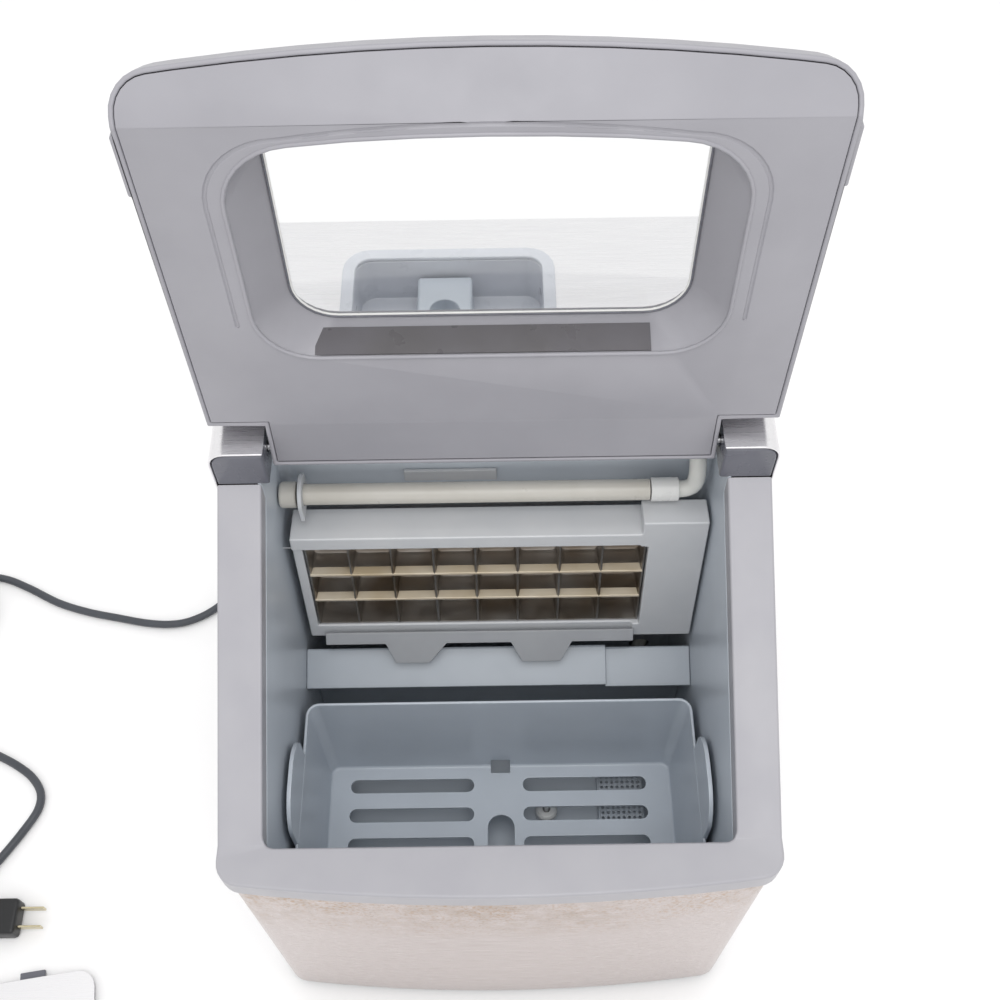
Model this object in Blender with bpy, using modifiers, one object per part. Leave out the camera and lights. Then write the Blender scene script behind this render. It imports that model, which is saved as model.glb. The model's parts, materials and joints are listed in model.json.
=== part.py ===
# Countertop clear-ice maker, standing open: hinged lid with a window, ice basket, cold grid,
# flow tube, filling port, refrigeration parts, supply cord and the loose cover of the port.
# Metres, +Z up. The origin is the centre of the pad under the base, the front looks along -Y.

from math import atan2, cos, hypot, pi, radians, sin

import bmesh
import bpy
from mathutils import Matrix, Vector

# ---------------------------------------------------------------- driving dimensions
GAP = 0.0003                    # air between touching pieces
TABLE_Z = -0.0045               # the surface that the feet and the cord stand on
HALF_W = 0.146                  # half width of the steel casing
REAR_Y = 0.1746                 # back of the casing
FRONT_Y = -0.1790               # middle of the bowed front, at the rim
BOW = 0.0092                    # how far the middle of the front stands proud of its ends
CORNER_R = 0.013                # plan radius of the front corners
SHEET = 0.0012                  # thickness of the steel sheet
SKIN = 0.0022                   # wall of the plastic mouldings
CASE_Z = 0.0035                 # bottom edge of the casing
DECK_Z = 0.3795                 # top of the flat rear deck

RIM_REAR = (0.0107, 0.3531)     # upper edge of the sloping rim: rear end, crease, front
RIM_CREASE = (-0.1515, 0.2632)
RIM_FRONT = (-0.1810, 0.2640)
RIM_DEPTH = 0.0150
RIM_HALF_W = 0.145

BIN_HALF_W = 0.1218             # inside of the ice bin
BIN_FRONT_Y = -0.1530
BIN_REAR_Y = 0.0500
BIN_FLOOR_Z = 0.0520
BIN_TOP_Z = 0.3535

HINGE = Vector((0.0, 0.0255, 0.3666))
LID_OPEN = radians(121.5)       # how far the lid stands open at rest
LID_HALF_W = 0.1440
LID_SLOPE = radians(29.07)
LID_BACK = (-0.0170, -0.0134)   # underside of the closed lid, from the hinge: y, z
LID_CREASE = (-0.1772, -0.1025)
LID_FRONT = (-0.2066, -0.1005)
LID_THICK = 0.0254
LID_BOW = 0.0098
LID_CORNER_R = 0.0176
LID_TOP_Z = 0.0129
TONGUE_HALF_W = 0.1150
TONGUE_Y = 0.0100
TONGUE_Z = -0.0023

GRID_CENTRE = Vector((-0.0121, 0.0095, 0.2419))
GRID_TILT = radians(-7.6)
CELL_X = 0.0245
CELL_Z = 0.0248
CELLS_X = 8
CELLS_Z = 3

TUBE_Y = 0.0330                 # axis of the water flow tube
TUBE_Z = 0.3085

BASKET_FRONT_Y = -0.1490
BASKET_REAR_Y = -0.0410
BASKET_FLOOR_Z = 0.0835
BASKET_RIM_Z = 0.1875

FLAP_AXIS = Vector((0.0, -0.0005, 0.2015))
FLAP_LEAN = radians(37.4)

PORT_X = (-0.0830, 0.0350)
PORT_Y = (0.0740, 0.1495)

FAN_CENTRE = Vector((0.0750, 0.1360, 0.0950))
CORD_R = 0.0030
CORD_Z = TABLE_Z + CORD_R + GAP
COIL_CENTRE = Vector((-0.4520, 0.1180, TABLE_Z + GAP))

# ---------------------------------------------------------------- an empty file to build in
for old in list(bpy.data.objects):
    bpy.data.objects.remove(old, do_unlink=True)

PARTS = bpy.data.collections.new("ice_maker")
CUTTERS = bpy.data.collections.new("cutters")
bpy.context.scene.collection.children.link(PARTS)
bpy.context.scene.collection.children.link(CUTTERS)


def material(name, color, roughness, metallic=0.0, alpha=1.0):
    mat = bpy.data.materials.new(name)
    mat.use_nodes = True
    shader = mat.node_tree.nodes["Principled BSDF"]
    shader.inputs["Base Color"].default_value = (*color, 1.0)
    shader.inputs["Roughness"].default_value = roughness
    shader.inputs["Metallic"].default_value = metallic
    shader.inputs["Alpha"].default_value = alpha
    return mat


# ---------------------------------------------------------------- outlines
def fillet(points, radius, steps=5):
    """A closed outline with each corner turned into an arc; radius is one value or one a corner."""
    radii = radius if isinstance(radius, (list, tuple)) else [radius] * len(points)
    out = []
    for i, corner in enumerate(points):
        here = Vector(corner)
        back = (Vector(points[i - 1]) - here).normalized()
        ahead = (Vector(points[(i + 1) % len(points)]) - here).normalized()
        if radii[i] <= 0:
            out.append(tuple(here))
            continue
        half = back.angle(ahead) / 2
        reach = radii[i] / abs(sin(half) / cos(half))
        middle = here + (back + ahead).normalized() * radii[i] / sin(half)
        start = here + back * reach - middle
        end = here + ahead * reach - middle
        a0 = atan2(start.y, start.x)
        turn = (atan2(end.y, end.x) - a0 + pi) % (2 * pi) - pi
        for k in range(steps + 1):
            a = a0 + turn * k / steps
            out.append((middle.x + radii[i] * cos(a), middle.y + radii[i] * sin(a)))
    return out


def rectangle(x0, x1, y0, y1, radius=0.0, steps=5):
    return fillet([(x0, y0), (x1, y0), (x1, y1), (x0, y1)], radius, steps)


def circle(x, y, radius, steps=24):
    return [(x + radius * cos(2 * pi * k / steps), y + radius * sin(2 * pi * k / steps))
            for k in range(steps)]


def bowed(half_w, rear_y, front_y, bow, radius, inset=0.0, steps=12):
    """Plan of the casing: straight back and sides, an arched front between round corners."""
    w = half_w - inset
    arc = []
    for k in range(1, steps):
        x = -w + 2 * w * k / steps
        arc.append((x, front_y + inset + bow * (x / half_w) ** 2))
    corner_y = front_y + inset + bow * (w / half_w) ** 2
    points = [(w, rear_y), (-w, rear_y), (-w, corner_y), *arc, (w, corner_y)]
    radii = [0, 0, radius - inset, *[0] * len(arc), radius - inset]
    return fillet(points, radii, 6)


# ---------------------------------------------------------------- solids
def link(obj, mat=None, cutter=False):
    (CUTTERS if cutter else PARTS).objects.link(obj)
    if cutter:
        obj.hide_render = True
        obj.display_type = "WIRE"
    if mat:
        obj.data.materials.append(mat)
    return obj


def from_bmesh(name, bm, mat=None, cutter=False):
    mesh = bpy.data.meshes.new(name)
    bm.to_mesh(mesh)
    bm.free()
    return link(bpy.data.objects.new(name, mesh), mat, cutter)


def welded(curve_obj, name, mat=None, cutter=False):
    """The closed mesh of a curve object, which is then removed."""
    bpy.context.scene.collection.objects.link(curve_obj)
    bpy.context.view_layer.update()
    evaluated = curve_obj.evaluated_get(bpy.context.evaluated_depsgraph_get())
    mesh = bpy.data.meshes.new_from_object(evaluated)
    bm = bmesh.new()
    bm.from_mesh(mesh)
    bmesh.ops.remove_doubles(bm, verts=bm.verts, dist=0.00001)
    bmesh.ops.recalc_face_normals(bm, faces=bm.faces)
    bm.to_mesh(mesh)
    bm.free()
    mesh.materials.clear()
    place = curve_obj.matrix_world.copy()
    bpy.data.objects.remove(curve_obj, do_unlink=True)
    obj = bpy.data.objects.new(name, mesh)
    obj.matrix_world = place
    return link(obj, mat, cutter)


def plate(name, outlines, low, high, mat=None, cutter=False, axis="Z"):
    """Flat outlines raised from low to high: along Z from x, y points, or along X from y, z."""
    curve = bpy.data.curves.new(name, "CURVE")
    curve.dimensions = "2D"
    curve.fill_mode = "BOTH"
    curve.extrude = (high - low) / 2
    for outline in outlines:
        spline = curve.splines.new("POLY")
        spline.points.add(len(outline) - 1)
        for point, (a, b) in zip(spline.points, outline):
            point.co = (a, b, 0, 1)
        spline.use_cyclic_u = True
    obj = bpy.data.objects.new(name, curve)
    middle = (low + high) / 2
    if axis == "Z":
        obj.location = (0, 0, middle)
    else:
        obj.matrix_world = Matrix(((0, 0, 1, middle), (1, 0, 0, 0), (0, 1, 0, 0), (0, 0, 0, 1)))
    return bake(welded(obj, name, mat, cutter))


def bake(obj, matrix=None):
    """Puts the object's own place, or a given one, into its mesh."""
    obj.data.transform(matrix or obj.matrix_world)
    if matrix is None:
        obj.matrix_world = Matrix.Identity(4)
    return obj


def box(name, low, high, mat=None, cutter=False, bevel=0.0, segments=2):
    size = Vector(high) - Vector(low)
    middle = (Vector(high) + Vector(low)) / 2
    bm = bmesh.new()
    place = Matrix.Translation(middle) @ Matrix.Diagonal((*size, 1))
    bmesh.ops.create_cube(bm, size=1, matrix=place)
    if bevel:
        bmesh.ops.bevel(bm, geom=bm.edges, offset=bevel, segments=segments, affect="EDGES",
                        profile=0.5)
    return from_bmesh(name, bm, mat, cutter)


def rod(name, start, end, radius, mat=None, cutter=False, segments=24, radius_end=None):
    start, end = Vector(start), Vector(end)
    along = end - start
    bm = bmesh.new()
    place = Matrix.Translation((start + end) / 2) @ along.to_track_quat("Z", "Y").to_matrix().to_4x4()
    bmesh.ops.create_cone(bm, cap_ends=True, segments=segments, radius1=radius,
                          radius2=radius if radius_end is None else radius_end,
                          depth=along.length, matrix=place)
    return from_bmesh(name, bm, mat, cutter)


def turned(name, profile, place, mat, steps=24):
    """A profile of radius and height, from its top to its bottom, spun about its own Z."""
    bm = bmesh.new()
    points = [bm.verts.new((r, 0, z)) for r, z in profile]
    for a, b in zip(points, points[1:]):
        bm.edges.new((a, b))
    obj = from_bmesh(name, bm, mat)
    screw = obj.modifiers.new("spin", "SCREW")
    screw.steps = screw.render_steps = steps
    screw.use_merge_vertices = True
    screw.merge_threshold = 0.00005
    obj.matrix_world = place
    return obj


def ring(name, profile, place, mat, steps=32):
    """A closed profile of radius and height spun about its own Z, with a hole through it."""
    return turned(name, [*profile, profile[0]], place, mat, steps)


def facing(origin, direction):
    return Matrix.Translation(origin) @ Vector(direction).to_track_quat("Z", "Y").to_matrix().to_4x4()


def smooth(points, step):
    """A smooth curve through the given points, with a point every step or so."""
    pts = [Vector(p) for p in points]
    pts = [pts[0] * 2 - pts[1], *pts, pts[-1] * 2 - pts[-2]]
    out = []
    for a, b, c, d in zip(pts, pts[1:], pts[2:], pts[3:]):
        count = max(1, round((c - b).length / step))
        for k in range(count):
            t = k / count
            out.append(((2 * b) + (c - a) * t + (2 * a - 5 * b + 4 * c - d) * t * t
                        + (3 * b - a - 3 * c + d) * t ** 3) / 2)
    return [*out, pts[-2]]


def tube(name, points, radius, mat, resolution=2):
    curve = bpy.data.curves.new(name, "CURVE")
    curve.dimensions = "3D"
    curve.bevel_depth = radius
    curve.bevel_resolution = resolution
    curve.use_fill_caps = True
    spline = curve.splines.new("POLY")
    spline.points.add(len(points) - 1)
    for point, co in zip(spline.points, points):
        point.co = (*co, 1)
    return link(bpy.data.objects.new(name, curve), mat)


def boolean(obj, other, operation="DIFFERENCE"):
    mod = obj.modifiers.new(operation.lower() + "_" + other.name, "BOOLEAN")
    mod.object = other
    mod.operation = operation
    mod.solver = "EXACT"
    return obj


def cut(obj, *cutters):
    for cutter in cutters:
        boolean(obj, cutter)
    return obj


def join(obj, *others):
    for other in others:
        boolean(obj, other, "UNION")
    return obj


def settle(obj):
    """Replaces the object's mesh with its evaluated one, and drops the modifiers."""
    bpy.context.view_layer.update()
    mesh = bpy.data.meshes.new_from_object(obj.evaluated_get(bpy.context.evaluated_depsgraph_get()))
    obj.modifiers.clear()
    obj.data = mesh
    return obj


def moving(name, pieces, origin, angle=0.0):
    """Hangs pieces that are modelled about their joint from an empty on the joint's axis."""
    empty = bpy.data.objects.new(name, None)
    PARTS.objects.link(empty)
    empty.location = origin
    empty.rotation_euler = (angle, 0, 0)
    for piece in pieces:
        settle(piece)
        piece.parent = empty
    return empty


# ---------------------------------------------------------------- materials
STEEL = material("brushed_stainless", (0.62, 0.61, 0.60), 0.32, 1.0)
GREY = material("light_grey_plastic", (0.42, 0.42, 0.46), 0.38)
LINER = material("blue_grey_plastic", (0.27, 0.31, 0.36), 0.30)
PALE = material("pale_plastic", (0.60, 0.61, 0.62), 0.40)
CREAM = material("cream_plastic", (0.66, 0.65, 0.60), 0.35)
DARK = material("dark_grey_plastic", (0.14, 0.15, 0.18), 0.35)
BLACK = material("black_plastic", (0.015, 0.015, 0.016), 0.35)
WHITE = material("white_plastic", (0.75, 0.75, 0.74), 0.35)
NICKEL = material("nickel_plate", (0.40, 0.36, 0.30), 0.35, 1.0)
COPPER = material("copper", (0.72, 0.33, 0.17), 0.30, 1.0)
CLEAR = material("clear_plastic", (0.90, 0.92, 0.93), 0.05, 0.0, 0.25)
RUBBER = material("black_rubber", (0.02, 0.02, 0.02), 0.70)
CORD = material("cord_jacket", (0.035, 0.040, 0.045), 0.50)
BRASS = material("brass", (0.70, 0.55, 0.28), 0.28, 1.0)
ENAMEL = material("black_enamel", (0.02, 0.02, 0.022), 0.25)
FINS = material("aluminium_fins", (0.60, 0.61, 0.62), 0.40, 1.0)
BOARD = material("circuit_board", (0.02, 0.13, 0.05), 0.50)
PAN = material("galvanised_pan", (0.50, 0.51, 0.52), 0.45, 1.0)


# ---------------------------------------------------------------- base
def base():
    outline = bowed(HALF_W, REAR_Y - 0.0040, -0.1700, BOW, CORNER_R, inset=0.0040)
    inner = bowed(HALF_W, REAR_Y - 0.0055, -0.1700, BOW, CORNER_R, inset=0.0055)
    pan = plate("base_pan", [outline], 0.0025, 0.0120, PAN)
    join(pan, box("pad", (-0.0600, -0.0600, 0.0), (0.0600, 0.0600, 0.0035), cutter=True))
    cut(pan, plate("pan_inside", [inner], 0.0040, 0.0200, cutter=True))
    corners = {"foot_front_left": (-0.110, -0.130), "foot_front_right": (0.110, -0.130),
               "foot_rear_left": (-0.110, 0.145), "foot_rear_right": (0.110, 0.145)}
    profile = [(0, 0.0067), (0.0125, 0.0067), (0.0125, 0.0030), (0.0110, 0.0), (0, 0.0)]
    for name, (x, y) in corners.items():
        turned(name, profile, Matrix.Translation((x, y, TABLE_Z)), RUBBER, 20)


# ---------------------------------------------------------------- steel casing
def casing():
    """One bent sheet makes both sides and the deck; it is open in front, behind and below."""
    front = -0.1500
    side = [(front, CASE_Z), (REAR_Y, CASE_Z), (REAR_Y, DECK_Z), (RIM_REAR[0] + 0.0005, DECK_Z),
            (RIM_REAR[0] + 0.0005, RIM_REAR[1] - RIM_DEPTH - GAP),
            (RIM_CREASE[0], RIM_CREASE[1] - RIM_DEPTH - GAP),
            (front, RIM_CREASE[1] - RIM_DEPTH - GAP)]
    wrap = plate("cabinet_wrap", [side], -HALF_W, HALF_W, STEEL, axis="X")
    top_edge = rectangle(-HALF_W, HALF_W, -0.1, DECK_Z, (0, 0, 0.009, 0.009))
    hull = plate("casing_hull", [top_edge], -0.3, 0.3, cutter=True)
    bake(hull, Matrix.Rotation(pi / 2, 4, "X"))
    boolean(wrap, hull, "INTERSECT")
    settle(wrap)
    inside = rectangle(-HALF_W + SHEET, HALF_W - SHEET, -0.2, DECK_Z - SHEET,
                       (0, 0, 0.0078, 0.0078))
    core = plate("casing_core", [inside], -0.3, 0.3, cutter=True)
    bake(core, Matrix.Rotation(pi / 2, 4, "X"))
    notch = box("lid_notch", (-0.1170, -0.05, 0.30), (0.1170, 0.0590, 0.45), cutter=True)
    port = plate("port_hole", [rectangle(PORT_X[0] + 0.004, PORT_X[1] - 0.004, PORT_Y[0] + 0.004,
                                         PORT_Y[1] - 0.004, 0.012)], 0.35, 0.40, cutter=True)
    panel = plate("panel_hole", [rectangle(0.0500, 0.1260, 0.0680, 0.0960, 0.010)],
                  0.36, 0.40, cutter=True)
    cut(wrap, core, notch, port, panel)

    outer = bowed(HALF_W, -0.1505, FRONT_Y + 0.005, BOW, CORNER_R)
    inner = bowed(HALF_W, -0.1400, FRONT_Y + 0.005, BOW, CORNER_R, inset=SHEET)
    front_panel = plate("front_panel", [outer], CASE_Z, RIM_CREASE[1] - RIM_DEPTH - GAP, STEEL)
    cut(front_panel, plate("front_inside", [inner], -0.05, 0.30, cutter=True))

    back = box("rear_panel", (-HALF_W + SHEET + GAP, REAR_Y - 0.0022, CASE_Z),
               (HALF_W - SHEET - GAP, REAR_Y - 0.0002, DECK_Z - 0.0095), DARK)
    for row in range(9):
        z = 0.040 + row * 0.014
        cut(back, box(f"vent_{row}", (0.0200, 0.15, z), (0.1300, 0.20, z + 0.006), cutter=True))
    cut(back, rod("gland_hole", (-0.105, 0.15, 0.030), (-0.105, 0.20, 0.030), 0.0063, cutter=True))
    cut(back, rod("drain_hole", (-0.030, 0.15, 0.030), (-0.030, 0.20, 0.030), 0.0093, cutter=True))


# ---------------------------------------------------------------- rim and ice bin
def bin_parts():
    (ry, rz), (cy, cz), (fy, fz) = RIM_REAR, RIM_CREASE, RIM_FRONT
    side = [(fy, fz), (fy, cz - RIM_DEPTH), (cy, cz - RIM_DEPTH), (ry, rz - RIM_DEPTH), (ry, rz),
            (cy, cz)]
    rim = plate("top_rim", [side], -RIM_HALF_W, RIM_HALF_W, GREY, axis="X")
    plan = plate("rim_plan", [bowed(RIM_HALF_W, 0.05, FRONT_Y - 0.0010, BOW, CORNER_R)],
                 0.2, 0.4, cutter=True)
    boolean(rim, plan, "INTERSECT")
    mouth = rectangle(-BIN_HALF_W, BIN_HALF_W, BIN_FRONT_Y, 0.06, (0.006, 0.006, 0, 0))
    cut(rim, plate("bin_mouth", [mouth], 0.2, 0.4, cutter=True))

    wall = 0.0020
    low = BIN_FLOOR_Z - wall
    side = [(BIN_FRONT_Y - wall, low), (BIN_REAR_Y + wall, low), (BIN_REAR_Y + wall, BIN_TOP_Z),
            (ry + GAP, BIN_TOP_Z), (ry + GAP, rz - RIM_DEPTH - GAP), (cy, cz - RIM_DEPTH - GAP),
            (BIN_FRONT_Y - wall, cz - RIM_DEPTH - GAP)]
    tub = plate("ice_tub", [side], -BIN_HALF_W - wall, BIN_HALF_W + wall, LINER, axis="X")
    flange = box("tub_flange", (-0.1165, 0.0510, BIN_TOP_Z - wall), (0.1165, 0.0587, BIN_TOP_Z),
                 cutter=True)
    join(tub, flange)
    hollow = rectangle(-BIN_HALF_W, BIN_HALF_W, BIN_FRONT_Y, BIN_REAR_Y, 0.006)
    cut(tub, plate("tub_hollow", [hollow], BIN_FLOOR_Z, 0.45, cutter=True))
    for x in (-1, 1):
        ends = sorted((x * 0.1080, x * (BIN_HALF_W + 0.001)))
        join(tub, box(f"basket_ledge_{x}", (ends[0], BIN_FRONT_Y - 0.001, low + 0.001),
                      (ends[1], BASKET_REAR_Y, BASKET_FLOOR_Z - GAP), cutter=True))
    cut(tub, rod("hose_hole_high", (0.1125, 0.045, 0.3300), (0.1125, 0.057, 0.3300), 0.0075,
                 cutter=True, segments=16))
    cut(tub, rod("hose_hole_low", (0.1020, 0.045, 0.0750), (0.1020, 0.057, 0.0750), 0.0075,
                 cutter=True, segments=16))

    edge = 0.0680
    drop = 0.0030
    high_ledge = [(-0.0025, 0.1797), (-0.0235, 0.1695), (-0.0230, 0.1675), (-0.0025, 0.1775)]
    low_ledge = [(y, z - drop) for y, z in high_ledge]
    for name, ledge, x0, x1 in (("ice_chute", high_ledge, -BIN_HALF_W + GAP, edge),
                                ("chute_low_end", low_ledge, edge - 0.0005, BIN_HALF_W - GAP)):
        top_z = ledge[0][1] - 0.0002
        sheet = [*ledge, (-0.0025, BIN_FLOOR_Z + GAP), (-0.0005, BIN_FLOOR_Z + GAP), (-0.0005, top_z)]
        plate(name, [sheet], x0, x1, LINER, axis="X", cutter=name != "ice_chute")
    join(bpy.data.objects["ice_chute"], bpy.data.objects["chute_low_end"])

    box("catch_plate", (-0.0520, 0.0478, 0.2985), (0.0010, 0.0497, 0.3080), PALE)


# ---------------------------------------------------------------- ice basket
def basket():
    def taper(name, inset, low, high, mat=None, cutter=False):
        obj = box(name, (-0.118 + inset, BASKET_FRONT_Y + inset, low),
                  (0.118 - inset, BASKET_REAR_Y - inset, high), mat, cutter)
        for vert in obj.data.vertices:
            if vert.co.z < (low + high) / 2:
                vert.co.x *= 0.985
                vert.co.y = -0.095 + (vert.co.y + 0.095) * 0.97
        return obj

    body = taper("ice_basket", 0, BASKET_FLOOR_Z, BASKET_RIM_Z, LINER)
    cut(body, taper("basket_hollow", 0.0018, BASKET_FLOOR_Z + 0.0020, BASKET_RIM_Z + 0.010,
                    cutter=True))
    for x in (-1, 1):
        ear = rectangle(-0.1280, -0.0740, 0.1500, 0.2245, (0, 0, 0.022, 0.022), 6)
        ends = sorted((x * 0.1164, x * 0.1188))
        join(body, plate(f"basket_ear_{x}", [ear], *ends, cutter=True, axis="X"))
    slots = []
    for x0, x1 in ((-0.101, -0.018), (0.015, 0.098)):
        for row in range(5):
            y = -0.0584 - 0.0200 * row
            slots.append(rectangle(x0, x1, y - 0.0046, y + 0.0046, 0.0045, 4))
    slots.append(rectangle(-0.0088, 0.0088, -0.1400, -0.0790, (0.002, 0.002, 0.0087, 0.0087), 5))
    slots.append(rectangle(-0.0064, 0.0064, -0.0500, -0.0400, 0))
    cut(body, plate("basket_slots", slots, 0.0800, 0.0870, cutter=True))
    cut(body, box("basket_notch", (-0.0064, -0.050, 0.080), (0.0064, -0.030, 0.094), cutter=True))


# ---------------------------------------------------------------- cold grid and water flow
def grid_place(obj):
    return bake(obj, Matrix.Translation(GRID_CENTRE) @ Matrix.Rotation(GRID_TILT, 4, "X"))


def evaporator():
    half_x, half_z = CELLS_X * CELL_X / 2, CELLS_Z * CELL_Z / 2
    x0, x1 = -0.1049, 0.1321
    frame = box("evaporator_frame", (x0, -0.0010, -0.0500), (x1, 0.0150, 0.0470), PALE)
    hood = box("hood", (x0, -0.0030, 0.0400), (0.0990, 0.0200, 0.0500), cutter=True)
    block = box("side_block", (0.0951, -0.0030, -0.0510), (x1, 0.0148, 0.0600), cutter=True)
    window = box("grid_window", (-half_x - 0.0013, -0.01, -half_z - 0.0013),
                 (half_x + 0.0013, 0.05, half_z + 0.0013), cutter=True)
    for obj in (frame, hood, block, window):
        grid_place(obj)
    join(frame, hood, block)
    cut(frame, window)

    grid = box("evaporator_grid", (-half_x - 0.0010, 0.0, -half_z - 0.0010),
               (half_x + 0.0010, 0.0195, half_z + 0.0010), NICKEL)
    bar = 0.0009
    cells = bmesh.new()
    for i in range(CELLS_X):
        for k in range(CELLS_Z):
            middle = Vector((-half_x + CELL_X * (i + 0.5), 0.0085, -half_z + CELL_Z * (k + 0.5)))
            size = Matrix.Diagonal((CELL_X - 2 * bar, 0.0190, CELL_Z - 2 * bar, 1))
            bmesh.ops.create_cube(cells, size=1, matrix=Matrix.Translation(middle) @ size)
    pockets = from_bmesh("grid_pockets", cells, cutter=True)
    grid_place(grid)
    grid_place(pockets)
    cut(grid, pockets)

    turns = []
    for row, z in enumerate((-0.0250, 0.0, 0.0250)):
        ends = (-0.088, 0.088) if row % 2 == 0 else (0.088, -0.088)
        turns.append((ends[0], 0.0245, z))
        turns.append((ends[1], 0.0245, z))
        if row < 2:
            bend = 1 if row % 2 == 0 else -1
            for k in (1, 2, 3, 4, 5):
                a = pi * k / 6
                turns.append((ends[1] + bend * 0.0105 * sin(a), 0.0245,
                              z + 0.0125 * (1 - cos(a))))
    coil = tube("evaporator_coil", turns, 0.0040, COPPER)
    coil.matrix_world = Matrix.Translation(GRID_CENTRE) @ Matrix.Rotation(GRID_TILT, 4, "X")


def water_parts():
    wall = [(0.0060, 0.0990), (0.0060, -0.0990), (0.0045, -0.0990), (0.0045, 0.0990)]
    ring("spray_tube", wall, facing((-0.0120, TUBE_Y, TUBE_Z), (1, 0, 0)), CREAM)
    cap = [(0, 0.0000), (0.0068, 0.0000), (0.0075, 0.0015), (0.0075, 0.0095), (0, 0.0095)]
    turned("spray_tube_cap", cap[::-1], facing((-0.1209, TUBE_Y, TUBE_Z), (1, 0, 0)), CREAM)
    sleeve = [(0.0068, 0.0155), (0.0068, 0.0), (0.0050, 0.0), (0.0050, 0.0155)]
    ring("hose_sleeve", sleeve, facing((0.0873, TUBE_Y, TUBE_Z), (1, 0, 0)), WHITE)
    outline = fillet([(TUBE_Y - 0.0120, 0.2985), (TUBE_Y + 0.0110, 0.2985),
                      (TUBE_Y + 0.0110, TUBE_Z + 0.0125), (TUBE_Y - 0.0120, TUBE_Z + 0.0125)],
                     (0.001, 0.001, 0.0108, 0.0108), 6)
    plate("tube_bracket", [outline, circle(TUBE_Y, TUBE_Z, 0.0064, 20)], -0.1095, -0.1073, PALE,
          axis="X")

    hose = [(0.1031, 0.0330, 0.3085), (0.1080, 0.0331, 0.3093), (0.1118, 0.0338, 0.3135),
            (0.1125, 0.0360, 0.3215), (0.1125, 0.0415, 0.3278), (0.1125, 0.0500, 0.3300),
            (0.1125, 0.0600, 0.3283), (0.1120, 0.0665, 0.3215), (0.1115, 0.0680, 0.3100),
            (0.1100, 0.0680, 0.2500), (0.1080, 0.0680, 0.1500), (0.1070, 0.0680, 0.0980),
            (0.1062, 0.0655, 0.0850), (0.1045, 0.0590, 0.0765), (0.1020, 0.0500, 0.0750),
            (0.0990, 0.0430, 0.0750)]
    tube("water_hose", smooth(hose, 0.009), 0.0048, WHITE)

    pump = [(0, 0.0430), (0.0080, 0.0430), (0.0080, 0.0380), (0.0165, 0.0380), (0.0165, 0.0030),
            (0.0180, 0.0030), (0.0180, 0.0), (0, 0.0)]
    turned("water_pump", pump, Matrix.Translation((0.0920, 0.0215, BIN_FLOOR_Z + GAP)), WHITE, 20)
    box("pump_filter", (0.0670, -0.0760, BIN_FLOOR_Z + GAP), (0.0980, -0.0430, 0.0600), LINER)

    at = (0.0310, -0.0685)
    post = [(0, 0.0270), (0.0030, 0.0270), (0.0030, 0.0255), (0.0018, 0.0255), (0.0018, 0.0), (0, 0)]
    turned("float_post", post, Matrix.Translation((*at, BIN_FLOOR_Z + GAP)), WHITE, 16)
    ball = [(0.0075, 0.0100), (0.0075, 0.0020), (0.0060, 0.0), (0.0024, 0.0), (0.0024, 0.0120),
            (0.0060, 0.0120)]
    ring("water_float", ball, Matrix.Translation((*at, BIN_FLOOR_Z + 0.0010)), WHITE, 20)

    tip = 0.0214
    strip = 0.0080
    flap = [(-0.1070, 0), (-0.1070, -strip), (-0.0700, -strip), (-0.0640, -tip), (-0.0430, -tip),
            (-0.0320, -strip), (0.0080, -strip), (0.0150, -tip), (0.0390, -tip), (0.0460, -strip),
            (0.0840, -strip), (0.0840, 0)]
    body = plate("ice_flap", [flap], -0.0008, 0.0008, GREY)
    bake(body, Matrix.Rotation(pi / 2 - FLAP_LEAN, 4, "X"))
    moving("flap_axis", [body], FLAP_AXIS)


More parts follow.
